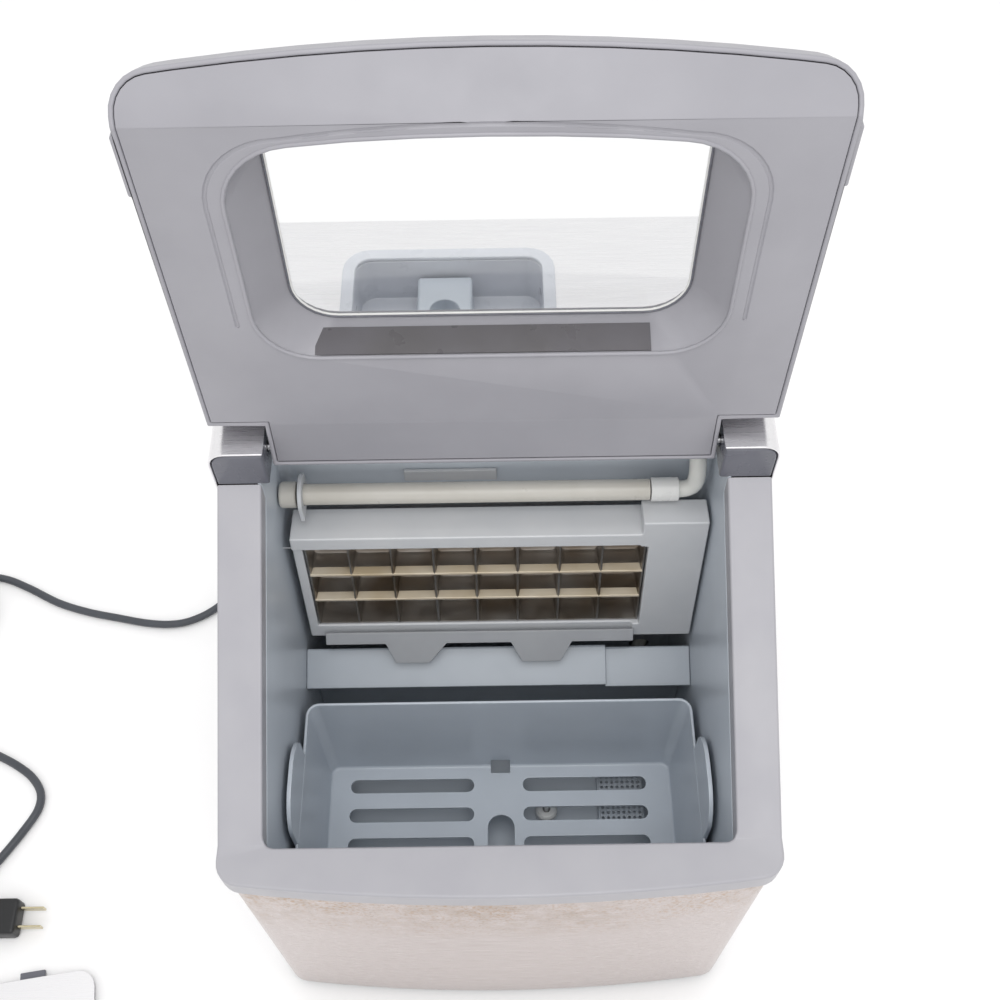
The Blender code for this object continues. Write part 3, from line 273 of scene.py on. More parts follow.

# %% [markdown]
# ## The grid's plating
# The grid is nickel-plated. Hard water has clouded it brown and has dulled it in streaks. The level
# bars are pale beige, a painted highlight along their ledges, which face the light.

# %% Nickel and enamel
def water_stained_nickel():
    """Nickel plate on the grid, clouded brown by hard water in patches of a few centimetres."""
    material, tree, shader = new_material("nickel_plate_water_stained", Metallic=1.0)
    patches = object_noise(tree, 26.0, 1.0)
    factor = between(tree, patches.outputs["Fac"], 0.0, 1.0)
    colour = blend_colours(tree, factor, "#B7B3AF", "#95897B")
    tree.links.new(colour, shader.inputs["Base Color"])
    streaks = object_noise(tree, 9.0, 2.0, (1, 1, 4))
    rough = between(tree, streaks.outputs["Fac"], 0.34, 0.46)
    tree.links.new(rough, shader.inputs["Roughness"])
    bump(tree, shader, streaks.outputs["Fac"], 0.02, 0.2)
    return material


NICKEL = water_stained_nickel()
# painted highlight: the pale colour of the level bars stands in for the light on their ledges
BAR_PAINTED_HIGHLIGHT = moulded("nickel_bar_scaled", "#EADFCB", "#CDBB9C", 0.45, grain_mm=1.2, Metallic=0.35)
ENAMEL = moulded("enamel_black_baked", "#101113", "#0B0C0D", 0.18, grain_mm=0.8, Coat_Weight=0.5)
print("nickel and enamel ready")

# %% [markdown]
# ## Clear, soft and printed materials
# The pane is cast acrylic, IOR 1.49: nearly clear, so it shows by its reflections and its edge.
# The cord's jacket is soft vinyl with a faint drawn grain, the feet are rubber, and the board is
# glass-fibre laminate under green lacquer.

# %% Other finishes
def clear_acrylic(name, tint, roughness):
    """Clear sheet: mostly transmitted light, with a little dust in its gloss."""
    material, tree, shader = new_material(name, IOR=1.49, Transmission_Weight=1.0,
                                          Base_Color=linear(tint))
    dust = object_noise(tree, 9.0, 4.0)
    rough = between(tree, dust.outputs["Fac"], roughness, roughness + 0.03)
    tree.links.new(rough, shader.inputs["Roughness"])
    return material


PANE = clear_acrylic("acrylic_clear_pane", "#FBFCFC", 0.0)
LENS = clear_acrylic("acrylic_smoked_lens", "#5A6066", 0.05)
VINYL = moulded("vinyl_cord_dark_grey", "#474A50", "#3D4046", 0.48, grain_mm=0.6, grain_depth=0.03)
RUBBER = moulded("rubber_foot_black", "#1B1B1C", "#141415", 0.75, grain_mm=0.5, grain_depth=0.04)
HOSE = moulded("silicone_hose_white", "#DDDDD9", "#D0D0CB", 0.42, Subsurface_Weight=0.15,
               Subsurface_Radius=(0.002, 0.002, 0.002))
LAMINATE = moulded("laminate_board_green", "#1E5B33", "#184A2A", 0.35, grain_mm=2.0)
print("materials:", len([m for m in bpy.data.materials if m.use_nodes]))

# %% [markdown]
# ## The supply cord
# The cord leaves a strain relief low on the back and lies on the table. What is out of sight is
# wound in a flat coil: two turns inwards on the table, then two and a quarter outwards on top.
# One smooth curve follows it all, so its length is the real one.

# %% Cord route
CORD_R = 3.0 * MM
CORD_Z = TABLE_Z + CORD_R + 0.3 * MM
COIL_AT = Vector((-0.4520, 0.1180, CORD_Z))
CORD_ROUTE = [
    (-0.1050, 0.2053, 0.0300), (-0.1056, 0.2200, 0.0290), (-0.1100, 0.2370, 0.0220),
    (-0.1220, 0.2500, 0.0110), (-0.1400, 0.2545, 0.0020), (-0.1600, 0.2470, CORD_Z),
    (-0.1780, 0.2260, CORD_Z), (-0.1905, 0.1950, CORD_Z), (-0.2020, 0.1650, CORD_Z),
    (-0.2150, 0.1410, CORD_Z), (-0.2324, 0.1229, CORD_Z), (-0.2499, 0.1133, CORD_Z),
    (-0.2661, 0.1104, CORD_Z), (-0.2853, 0.1118, CORD_Z), (-0.3098, 0.1169, CORD_Z),
    (-0.3347, 0.1226, CORD_Z), (-0.3601, 0.1313, CORD_Z), (-0.3869, 0.1453, CORD_Z),
    (-0.4085, 0.1545, CORD_Z), (-0.4298, 0.1570, CORD_Z),
]
LEAD_ROUTE = [
    (-0.4925, 0.0965, CORD_Z + 0.0022), (-0.4885, 0.0750, CORD_Z), (-0.4740, 0.0500, CORD_Z),
    (-0.4500, 0.0300, CORD_Z), (-0.4160, 0.0150, CORD_Z), (-0.3980, 0.0078, CORD_Z),
    (-0.3810, 0.0002, CORD_Z),
    (-0.3661, -0.0076, CORD_Z), (-0.3531, -0.0170, CORD_Z), (-0.3446, -0.0290, CORD_Z),
    (-0.3442, -0.0420, CORD_Z), (-0.3521, -0.0581, CORD_Z), (-0.3640, -0.0770, CORD_Z),
    (-0.3715, -0.0870, CORD_Z), (-0.3800, -0.0930, CORD_Z), (-0.3905, -0.0942, CORD_Z),
    (-0.4020, -0.0895, CORD_Z), (-0.4180, -0.0790, CORD_Z), (-0.4340, -0.0750, CORD_Z),
    (-0.4478, -0.0793, CORD_Z), (-0.4564, -0.0911, CORD_Z), (-0.4564, -0.1055, CORD_Z),
    (-0.4478, -0.1172, CORD_Z), (-0.4340, -0.1215, -0.0006), (-0.4190, -0.1215, 0.0015),
    (-0.4045, -0.1215, 0.0030),
]


def coil_turns():
    """Centreline of the coil, a point every 10 degrees, starting a quarter turn round."""
    points = []
    for degrees in range(10, 1530, 10):
        inward = min(degrees, 720)
        climb = min(max(degrees - 720, 0), 120)
        outward = max(degrees - 840, 0)
        radius = 0.0390 - 0.0122 * inward / 720 - 0.0006 * sin(pi * climb / 120)
        radius += 0.0137 * outward / 690
        angle = radians(90 + degrees)
        lift = 6.2 * MM * climb / 120
        points.append(COIL_AT + Vector((radius * cos(angle), radius * sin(angle), lift)))
    return points


def smooth(points, step):
    """A smooth curve through the given points, with a point every step or so."""
    pts = [Vector(p) for p in points]
    pts = [pts[0] * 2 - pts[1], *pts, pts[-1] * 2 - pts[-2]]
    out = []
    for a, b, c, d in zip(pts, pts[1:], pts[2:], pts[3:]):
        count = max(1, round((c - b).length / step))
        for k in range(count):
            t = k / count
            out.append(((2 * b) + (c - a) * t + (2 * a - 5 * b + 4 * c - d) * t * t
                        + (3 * b - a - 3 * c + d) * t ** 3) / 2)
    return [*out, pts[-2]]


def tube(name, points, radius, sides=4):
    """A round wire, pipe or cord: a curve with a bevel and filled ends."""
    curve = bpy.data.curves.new(name, "CURVE")
    curve.dimensions = "3D"
    curve.bevel_depth = radius
    curve.bevel_resolution = sides
    curve.use_fill_caps = True
    spline = curve.splines.new("POLY")
    spline.points.add(len(points) - 1)
    for point, place in zip(spline.points, points):
        point.co = (*place, 1)
    obj = bpy.data.objects.new(name, curve)
    bpy.context.scene.collection.objects.link(obj)
    return obj


route = smooth([*CORD_ROUTE, *coil_turns(), *LEAD_ROUTE], 2.5 * MM)
supply_cord = tube("supply_cord", route, CORD_R)
supply_cord.data.materials.append(VINYL)
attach(supply_cord, "cabinet")
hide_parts("power_cord", "cord_coil", "plug_lead")

# %% [markdown]
# ## Softened solids
# A moulding or a folded sheet has no razor edges: each catches a thin line of light. Most pieces
# are therefore their plain solid, welded and freed of needless edges, with a small bevel and with
# normals weighted to the large faces. Another way is to model each by hand, which pays only where
# the shape itself differs, as it does on the basket and the lid.

# %% Helpers for softening
def link(name, mesh):
    """A new object in the scene."""
    obj = bpy.data.objects.new(name, mesh)
    bpy.context.scene.collection.objects.link(obj)
    return obj


def plain(obj):
    """Swaps the object for its evaluated mesh, without modifiers; a curve's caps are welded on."""
    bpy.context.view_layer.update()
    mesh = bpy.data.meshes.new_from_object(obj.evaluated_get(bpy.context.evaluated_depsgraph_get()))
    if obj.type == "MESH":
        obj.modifiers.clear()
        obj.data = mesh
        return obj
    name = obj.name
    bpy.data.objects.remove(obj, do_unlink=True)
    mesh.materials.clear()
    bm = bmesh.new()
    bm.from_mesh(mesh)
    bmesh.ops.remove_doubles(bm, verts=bm.verts, dist=WELD)
    bmesh.ops.recalc_face_normals(bm, faces=bm.faces)
    bm.to_mesh(mesh)
    bm.free()
    return link(name, mesh)


def soften(obj, edge_mm=0.5, segments=3, angle=35, spare=None):
    """Rounds the sharp edges, shades smooth between them and keeps the flats flat.

    spare says, from the middle of an edge, that the edge stays sharp."""
    if edge_mm:
        bm = bmesh.new()
        bm.from_mesh(obj.data)
        weight = bm.edges.layers.float.new("bevel_weight_edge")
        for edge in bm.edges:
            middle = (edge.verts[0].co + edge.verts[1].co) / 2
            sharp = len(edge.link_faces) == 2 and edge.calc_face_angle(0) > radians(angle)
            edge[weight] = 1.0 if sharp and not (spare and spare(middle)) else 0.0
        bm.to_mesh(obj.data)
        bm.free()
        bevel = obj.modifiers.new("edges", "BEVEL")
        bevel.width = edge_mm * MM
        bevel.segments = segments
        bevel.limit_method = "WEIGHT"
        bevel.use_clamp_overlap = False
        bevel.miter_outer = "MITER_ARC"
        plain(obj)
    obj.data.shade_smooth()
    obj.data.set_sharp_from_angle(angle=radians(angle))
    weigh = obj.modifiers.new("normals", "WEIGHTED_NORMAL")
    weigh.keep_sharp = True
    return plain(obj)


print("pieces can be softened")

# %% [markdown]
# ## Riding on the frame
# A finished piece rides on the body of the solid it stands for. The
# record says which is which, so no name is typed twice. An extra piece, such as a screw, rides
# on the body it is fixed to and stands for nothing.

# %% Helpers for riding and replacing
record = frame["record"]
BODY = {node: body for body, nodes in record["behaviour"]["bodies"].items() for node in nodes}


def stand_for(obj, material, *nodes):
    """The finished piece: its material, its body and the solids it stands for."""
    obj.data.materials.clear()
    obj.data.materials.append(material)
    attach(obj, BODY[nodes[0]])
    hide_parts(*nodes)
    return obj


def add_to(obj, material, node):
    """A finished extra piece, fixed to the same body as the named solid."""
    obj.data.materials.clear()
    obj.data.materials.append(material)
    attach(obj, BODY[node])
    return obj


def copy_of(node):
    """The plain solid as a clean mesh: welded, with flat areas as single faces."""
    bm = bmesh.new()
    bm.from_mesh(frame["nodes"][node].data)
    bmesh.ops.remove_doubles(bm, verts=bm.verts, dist=WELD)
    bmesh.ops.dissolve_limit(bm, angle_limit=radians(0.8), verts=bm.verts, edges=bm.edges)
    mesh = bpy.data.meshes.new(node + "_finished")
    bm.to_mesh(mesh)
    bm.free()
    return link(node + "_finished", mesh)


def dressed(node, material, edge_mm=0.5, segments=3, angle=35, spare=None):
    """The plain solid softened and given its material: the whole piece in one call."""
    return stand_for(soften(copy_of(node), edge_mm, segments, angle, spare), material, node)


# %% [markdown]
# ## Simple shapes
# The pieces that differ from their solids are built from a few shapes: a prism over an outline, a
# box, and a profile turned about an axis. Booleans then cut or join them. They use the exact
# solver, which keeps a thin wall closed where the fast one may tear it.

# %% Helpers for shapes
def carve(obj, *cutters, operation="DIFFERENCE"):
    """Applies exact Booleans with the cutters, and removes them."""
    for cutter in cutters:
        mod = obj.modifiers.new("carve", "BOOLEAN")
        mod.object = cutter
        mod.operation = operation
        mod.solver = "EXACT"
    plain(obj)
    for cutter in cutters:
        bpy.data.objects.remove(cutter, do_unlink=True)
    return obj


def arc_corner(centre, radius, start, steps=8):
    """Points of a quarter circle from the start angle, in degrees."""
    return [(centre[0] + radius * cos(radians(start + 90 * k / steps)),
             centre[1] + radius * sin(radians(start + 90 * k / steps))) for k in range(steps + 1)]


def rounded_rectangle(half_x, half_y, radius, middle=(0.0, 0.0), steps=8):
    """Counter-clockwise outline with round corners."""
    cx, cy = middle
    out = []
    for sx, sy, start in ((1, 1, 0), (-1, 1, 90), (-1, -1, 180), (1, -1, 270)):
        corner = (cx + sx * (half_x - radius), cy + sy * (half_y - radius))
        out += arc_corner(corner, radius, start, steps)
    return out


def prism(name, outline, low, high):
    """An outline in x and y raised from low to high."""
    bm = bmesh.new()
    rings = [[bm.verts.new((x, y, z)) for x, y in outline] for z in (low, high)]
    bm.faces.new(rings[0][::-1])
    bm.faces.new(rings[1])
    for k in range(len(outline)):
        n = (k + 1) % len(outline)
        bm.faces.new((rings[0][k], rings[0][n], rings[1][n], rings[1][k]))
    mesh = bpy.data.meshes.new(name)
    bm.to_mesh(mesh)
    bm.free()
    return link(name, mesh)


def place_mesh(obj, matrix):
    """Moves the mesh itself, so that the object stays at the origin."""
    obj.data.transform(matrix)
    return obj


def cuboid(name, low, high):
    """A box between two corners, for cutting or for softening."""
    size = Vector(high) - Vector(low)
    middle = (Vector(high) + Vector(low)) / 2
    outline = [(middle.x + sx * size.x / 2, middle.y + sy * size.y / 2)
               for sx, sy in ((-1, -1), (1, -1), (1, 1), (-1, 1))]
    return prism(name, outline, low[2], high[2])


def turned(name, profile, place, steps=64):
    """A profile of radius and height, from its top to its bottom, spun about its own Z."""
    bm = bmesh.new()
    points = [bm.verts.new((r, 0, z)) for r, z in profile]
    edges = [bm.edges.new(pair) for pair in zip(points, points[1:])]
    bmesh.ops.spin(bm, geom=[*points, *edges], axis=(0, 0, 1), cent=(0, 0, 0), angle=2 * pi,
                   steps=steps, use_merge=True)
    bmesh.ops.remove_doubles(bm, verts=bm.verts, dist=WELD)
    bmesh.ops.dissolve_degenerate(bm, edges=bm.edges, dist=0.000001)
    bmesh.ops.recalc_face_normals(bm, faces=bm.faces)
    mesh = bpy.data.meshes.new(name)
    bm.to_mesh(mesh)
    bm.free()
    return place_mesh(link(name, mesh), place)


def facing(origin, direction):
    """A placement whose Z looks along the direction."""
    quaternion = Vector(direction).to_track_quat("Z", "Y")
    return Matrix.Translation(origin) @ quaternion.to_matrix().to_4x4()


print("shapes ready: prism, cuboid, turned")

# %% [markdown]
# ## Repeats with Geometry Nodes
# Grid cells, perforations, fins, louvres and screws are one small mesh set out in rows. A tree
# places it on the points of a grid, from named inputs for the counts and the pitches, and the
# result is turned into a plain mesh. Copying the mesh in a loop would give the same shape, but a
# tree keeps the counts adjustable.

# %% The tree that sets things out in rows
NO_PITCH = 10.0 * MM        # along a side with one item, where the pitch has no effect


def rows_of(name, unit, columns, rows, pitch_x, pitch_y, material, merge=0.0):
    """The unit's mesh on a grid of points about its own origin, as one plain mesh."""
    tree = bpy.data.node_groups.new(name + "_rows", "GeometryNodeTree")
    face = tree.interface
    face.new_socket("Geometry", in_out="OUTPUT", socket_type="NodeSocketGeometry")
    values = {"Columns": columns, "Rows": rows, "Column pitch": pitch_x, "Row pitch": pitch_y}
    sockets = {}
    for label, value in values.items():
        kind = "NodeSocketInt" if isinstance(value, int) else "NodeSocketFloat"
        sockets[label] = face.new_socket(label, in_out="INPUT", socket_type=kind).identifier
    given = add_node(tree, "NodeGroupInput").outputs
    spans = []
    for count, pitch in (("Columns", "Column pitch"), ("Rows", "Row pitch")):
        gaps = add_node(tree, "ShaderNodeMath", {1: 1.0}, {0: given[count]}, operation="SUBTRACT")
        spans.append(add_node(tree, "ShaderNodeMath", None, {0: gaps.outputs[0], 1: given[pitch]},
                              operation="MULTIPLY").outputs[0])
    grid = add_node(tree, "GeometryNodeMeshGrid", None,
                    {"Size X": spans[0], "Size Y": spans[1], "Vertices X": given["Columns"],
                     "Vertices Y": given["Rows"]})
    item = add_node(tree, "GeometryNodeObjectInfo", {"Object": unit})
    copies = add_node(tree, "GeometryNodeInstanceOnPoints", None,
                      {"Points": grid.outputs["Mesh"], "Instance": item.outputs["Geometry"]})
    solid = add_node(tree, "GeometryNodeRealizeInstances", None,
                     {"Geometry": copies.outputs["Instances"]}).outputs[0]
    if merge:
        solid = add_node(tree, "GeometryNodeMergeByDistance", {"Distance": merge},
                         {"Geometry": solid}).outputs[0]
    painted = add_node(tree, "GeometryNodeSetMaterial", {"Material": material}, {"Geometry": solid})
    add_node(tree, "NodeGroupOutput", None, {"Geometry": painted.outputs["Geometry"]})
    obj = link(name, bpy.data.meshes.new(name))
    modifier = obj.modifiers.new("rows", "NODES")
    modifier.node_group = tree
    for label, value in values.items():
        modifier[sockets[label]] = value
    plain(obj)
    bpy.data.objects.remove(unit, do_unlink=True)
    return obj


print("one tree sets out every repeat")

# %% [markdown]
# ## The steel casing
# One bent stainless sheet makes the sides and the deck, and a bowed one closes the front. Their
# edges are folded, so the light runs along them in a bright line.

# %% Casing, base and feet
dressed("cabinet_wrap", STEEL, 0.5)
dressed("front_panel", FRONT_STEEL, 0.4)
dressed("base_pan", ZINC, 0.6)
for corner in ("front_left", "front_right", "rear_left", "rear_right"):
    dressed("foot_" + corner, RUBBER, 0.8)

# %% [markdown]
# ## The rear panel
# A black moulded panel closes the back. Louvres behind its openings keep fingers out, and six
# pan-head screws with a cross recess hold it: both are small meshes set out in rows.

# %% Rear panel, louvres and screws
back_low, back_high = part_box("rear_panel")
dressed("rear_panel", DARK_BACK, 0.5)

# The hem closes the slot between the panel's top and the deck.
HEM_TALL = 8.0 * MM
HEM_THICK = 2.4 * MM
hem_face = rounded_rectangle(back_high.x - 0.5 * MM, HEM_TALL / 2, 3.0 * MM)
hem_at = Vector((0, back_high.y - 0.2 * MM, back_high.z + HEM_TALL / 2 - 0.4 * MM))
hem = prism("rear_hem", hem_face, 0, HEM_THICK)
place_mesh(hem, Matrix.Translation(hem_at) @ Matrix.Rotation(pi / 2, 4, "X"))
add_to(soften(hem, 0.4), DARK_BACK, "rear_panel")

SLATS = 9
SLAT_PITCH = 14.0 * MM
SLAT_TILT = radians(40)
slat = soften(cuboid("slat", (-0.0548, -0.0006, -0.0030), (0.0548, 0.0006, 0.0030)), 0.4)
place_mesh(slat, Matrix.Rotation(pi / 2 + SLAT_TILT, 4, "X"))
vents = rows_of("rear_louvres", slat, 1, SLATS, NO_PITCH, SLAT_PITCH, DARK_BACK)
place_mesh(vents, Matrix.Translation((0.0750, back_low.y + 0.0010, 0.0990))
           @ Matrix.Rotation(pi / 2, 4, "X"))
add_to(vents, DARK_BACK, "rear_panel")


def pan_head_screw():
    """A 3 mm pan head with a cross recess, its face towards +Z."""
    head = turned("screw", [(0, 1.6 * MM), (1.4 * MM, 1.5 * MM), (2.4 * MM, 1.0 * MM),
                            (2.9 * MM, 0.0), (0, 0.0)], Matrix.Identity(4), 20)
    size = (0.35 * MM, 1.7 * MM)
    bars = [cuboid("bar", (-a, -b, 0.8 * MM), (a, b, 3 * MM)) for a, b in (size, size[::-1])]
    return soften(carve(head, *bars), 0)


SCREWS = (2, 3)
SCREW_PITCH = (0.2640, 0.1700)
screws = rows_of("rear_screws", pan_head_screw(), *SCREWS, *SCREW_PITCH, PIN_STEEL)
place_mesh(screws, Matrix.Translation((0, back_high.y, 0.1950)) @ Matrix.Rotation(pi / 2, 4, "X")
           @ Matrix.Rotation(pi, 4, "X"))
add_to(screws, PIN_STEEL, "cabinet_wrap")
print("back:", SLATS, "louvres,", SCREWS[0] * SCREWS[1], "screws")

# %% [markdown]
# ## The rim and the ice bin
# The rim is a thick grey moulding round the mouth, level at the front and sloping up along the
# sides. The bin under it is a deep blue-grey liner, moulded in one piece.

# %% Rim, bin and chute
dressed("top_rim", RIM_GREY, 1.4, 4, spare=lambda middle: middle.y > rim_high.y - 1 * MM)
dressed("ice_tub", LINER, 0.6)
dressed("ice_chute", CHUTE_GREY, 0.5)
dressed("catch_plate", PALE, 0.4)
print("bin is", round((tub_high.x - tub_low.x) * 1000), "mm wide")

# %% [markdown]
# ## The ice basket
# The basket lifts out. It is a thin tray with round corners and two tall ears to lift it by, and
# its floor is slotted so that meltwater drains. A loop of rings makes the tray, from the floor up
# the outside, over the lip and down the inside; the slots are cut afterwards.

# %% Ice basket
def tray(name, low, high, radius, wall, floor, taper, edge=3 * MM):
    """An open tray between two corners; taper is how much narrower the floor is on each side."""
    middle = ((low.x + high.x) / 2, (low.y + high.y) / 2)
    half_x, half_y = (high.x - low.x) / 2, (high.y - low.y) / 2

    def ring(z, inset):
        """The outline at a height, with the taper and a further inset."""
        share = (high.z - z) / (high.z - low.z)
        dx = half_x - taper[0] * share - inset
        dy = half_y - taper[1] * share - inset
        return [(x, y, z) for x, y in rounded_rectangle(dx, dy, max(radius - inset, 0.001), middle)]

    loops = []
    for k in range(6):
        angle = radians(18 * k)
        loops.append(ring(low.z + edge * (1 - cos(angle)), edge * (1 - sin(angle))))
    lip = wall / 2
    for k in range(7):
        angle = pi * k / 6
        loops.append(ring(high.z - lip + lip * sin(angle), lip * (1 - cos(angle))))
    inner = edge - wall / 2
    for k in range(6):
        angle = radians(18 * k)
        loops.append(ring(low.z + floor + inner * (1 - sin(angle)), wall + inner * (1 - cos(angle))))
    bm = bmesh.new()
    rings = [[bm.verts.new(point) for point in loop] for loop in loops]
    for a, b in zip(rings, rings[1:]):
        for k in range(len(a)):
            n = (k + 1) % len(a)
            bm.faces.new((a[k], a[n], b[n], b[k]))
    bm.faces.new(rings[0][::-1])
    bm.faces.new(rings[-1])
    bmesh.ops.recalc_face_normals(bm, faces=bm.faces)
    mesh = bpy.data.meshes.new(name)
    bm.to_mesh(mesh)
    bm.free()
    return link(name, mesh)


basket_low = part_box("ice_basket")[0]
RIM_Z = 0.1875
BASKET_WALL = 1.8 * MM
body_high = Vector((0.1180, -0.0410, RIM_Z))
body_low = Vector((-0.1180, -0.1490, basket_low.z))
basket = tray("basket_finished", body_low, body_high, 8 * MM, BASKET_WALL, 2.0 * MM,
              (0.0017, 0.0016))
floor_z = (basket_low.z - 2 * MM, basket_low.z + 2.9 * MM)
cutters = []
for x in (-0.0595, 0.0565):
    for row in range(5):
        slot = rounded_rectangle(0.0415, 0.0046, 0.0045, (x, -0.0584 - 0.0200 * row), 6)
        cutters.append(prism("slot", slot, *floor_z))
middle_slot = rounded_rectangle(0.0088, 0.0305, 0.0087, (0, -0.1095))
cutters.append(prism("middle_slot", middle_slot, *floor_z))
cutters.append(cuboid("rear_notch", (-0.0064, -0.0500, 0.0800), (0.0064, -0.0300, 0.0940)))
carve(basket, *cutters)
for side in (-1, 1):
    outline = [(-0.1280, 0.1500), (-0.0740, 0.1500), *arc_corner((-0.0960, 0.2025), 0.022, 0),
               *arc_corner((-0.1060, 0.2025), 0.022, 90)]
    ear = prism("ear", outline, -1.2 * MM, 1.2 * MM)
    upright = Matrix(((0, 0, 1, side * 0.1176), (1, 0, 0, 0), (0, 1, 0, 0), (0, 0, 0, 1)))
    carve(basket, place_mesh(ear, upright), operation="UNION")
stand_for(soften(basket, 0.35, 2, 40), LINER, "ice_basket")
print("basket has", len(cutters) - 2, "drain slots")

# %% [markdown]
# ## The cold grid
# Ice freezes in twenty-four pockets of nickel-plated copper, in three rows of eight, tilted so
# that the cubes fall forwards. One pocket is a thin-walled tray on its side.

# %% Grid pockets
GRID_AT = Matrix.Translation((-0.0121, 0.0095, 0.2419)) @ Matrix.Rotation(radians(-7.6), 4, "X")
CELL = Vector((0.0245, 0.0, 0.0248))
CELLS = (8, 3)
GRID_DEEP = 18.0 * MM
BAR = 0.9 * MM
UPRIGHT = Matrix.Rotation(pi / 2, 4, "X")


def pocket():
    """One open pocket with its mouth at z = 0 facing +Z, with a little draft and round corners."""
    bm = bmesh.new()
    loops = []
    for z, inset, radius in ((0.0, 0.0, 1.2), (-0.3, 0.55, 1.0), (-13.0, 1.0, 2.2), (-15.2, 1.8, 2.4),
                             (-16.0, 3.4, 2.4)):
        outline = rounded_rectangle(CELL.x / 2 - inset * MM, CELL.z / 2 - inset * MM, radius * MM,
                                    steps=3)
        if inset == 0.0:
            outline = rounded_rectangle(CELL.x / 2, CELL.z / 2, 0.01 * MM, steps=3)
        loops.append([bm.verts.new((x, y, z * MM)) for x, y in outline])
    for a, b in zip(loops, loops[1:]):
        for k in range(len(a)):
            n = (k + 1) % len(a)
            bm.faces.new((a[k], b[k], b[n], a[n]))
    bm.faces.new(loops[-1])
    back = [bm.verts.new((x, y, -GRID_DEEP)) for x, y in
            rounded_rectangle(CELL.x / 2, CELL.z / 2, 0.01 * MM, steps=3)]
    for k in range(len(back)):
        n = (k + 1) % len(back)
        bm.faces.new((back[k], loops[0][k], loops[0][n], back[n]))
    bm.faces.new(back[::-1])
    bmesh.ops.recalc_face_normals(bm, faces=bm.faces)
    mesh = bpy.data.meshes.new("pocket")
    bm.to_mesh(mesh)
    bm.free()
    return link("pocket", mesh)


grid = rows_of("cold_grid", pocket(), *CELLS, CELL.x, CELL.z, NICKEL)
place_mesh(grid, GRID_AT @ UPRIGHT)
stand_for(soften(grid, 0), NICKEL, "evaporator_grid")
print("grid of", CELLS[0], "by", CELLS[1], "pockets")

# %% [markdown]
# ## The bars between the pockets
# The two level bars between the rows are pale beige: a painted highlight along their ledges, which
# face the overhead light. The upright ones are thin and stay the grid's own metal.

# %% Grid bars
span_x, span_z = CELLS[0] * CELL.x, CELLS[1] * CELL.z
level = soften(cuboid("level_bar", (-span_x / 2, -BAR, -5.5 * MM), (span_x / 2, BAR, 0.4 * MM)), 0.3)
across = rows_of("grid_bars_level", level, 1, CELLS[1] - 1, NO_PITCH, CELL.z, BAR_PAINTED_HIGHLIGHT)
add_to(place_mesh(across, GRID_AT @ UPRIGHT), BAR_PAINTED_HIGHLIGHT, "evaporator_grid")
upright = soften(cuboid("upright_bar", (-BAR * 0.45, -span_z / 2, -1.2 * MM),
                        (BAR * 0.45, span_z / 2, 0.3 * MM)), 0.2)
rising = rows_of("grid_bars_upright", upright, CELLS[0] + 1, 1, CELL.x, NO_PITCH, NICKEL)
add_to(place_mesh(rising, GRID_AT @ UPRIGHT), NICKEL, "evaporator_grid")
print("grid", round(span_x * 1000), "by", round(span_z * 1000), "mm")

# %% [markdown]
# ## The cold pipe
# The pipe that freezes the pockets runs back and forth behind them, once for each row.

# %% Cold pipe
def serpentine():
    """Centreline of the cold pipe behind the grid: three runs joined by two bends."""
    points = []
    for row, z in enumerate((-0.0250, 0.0, 0.0250)):
        way = 1 if row % 2 == 0 else -1
        points += [(-0.088 * way, 0.0245, z), (0.088 * way, 0.0245, z)]
        if row < 2:
            points += [(way * (0.088 + 0.0105 * sin(pi * k / 12)), 0.0245,
                        z + 0.0125 * (1 - cos(pi * k / 12))) for k in range(1, 12)]
    return points


cold_pipe = plain(tube("cold_pipe", serpentine(), 4 * MM))
stand_for(soften(place_mesh(cold_pipe, GRID_AT), 0), COPPER, "evaporator_coil")
print("cold pipe:", CELLS[1], "runs")

# %% [markdown]
# ## The frame round the grid
# A pale moulding holds the grid. Its hood overhangs the pockets, and its lower lip is scalloped,
# one shallow arc over each column, to part the water that runs down the grid. Eight wide drums
# set out in a row cut the arcs.

# %% Grid frame
SCALLOP_DEEP = 1.6 * MM
drum_r = ((CELL.x / 2) ** 2 + SCALLOP_DEEP ** 2) / (2 * SCALLOP_DEEP)
half_turn = atan2(CELL.x / 2, drum_r - SCALLOP_DEEP) * 180 / pi
arc = [(drum_r * sin(radians(half_turn * k / 8)),
        drum_r * (cos(radians(half_turn * k / 8)) - 1) + SCALLOP_DEEP) for k in range(8, -9, -1)]
segment = prism("segment", [*arc, (-CELL.x / 2, -1.0 * MM), (CELL.x / 2, -1.0 * MM)],
                1.15 * MM, 6 * MM)
segments = rows_of("segments", segment, CELLS[0], 1, CELL.x, NO_PITCH, PALE, merge=0.01 * MM)
hood_low = CELLS[1] * CELL.z / 2 + 1.3 * MM
place_mesh(segments, GRID_AT @ Matrix.Translation((0, 0, hood_low)) @ UPRIGHT)
frame_piece = carve(copy_of("evaporator_frame"), segments)
stand_for(soften(frame_piece, 1.0, 4), PALE, "evaporator_frame")
print("scallops", round(SCALLOP_DEEP * 1000, 1), "mm deep")

# %% [markdown]
# ## The water flow
# Water is pumped up a soft hose into a tube with a row of fine holes, which wets the back of the
# grid. The tube is a stiff cream moulding with a cap at one end and a sleeve at the other.

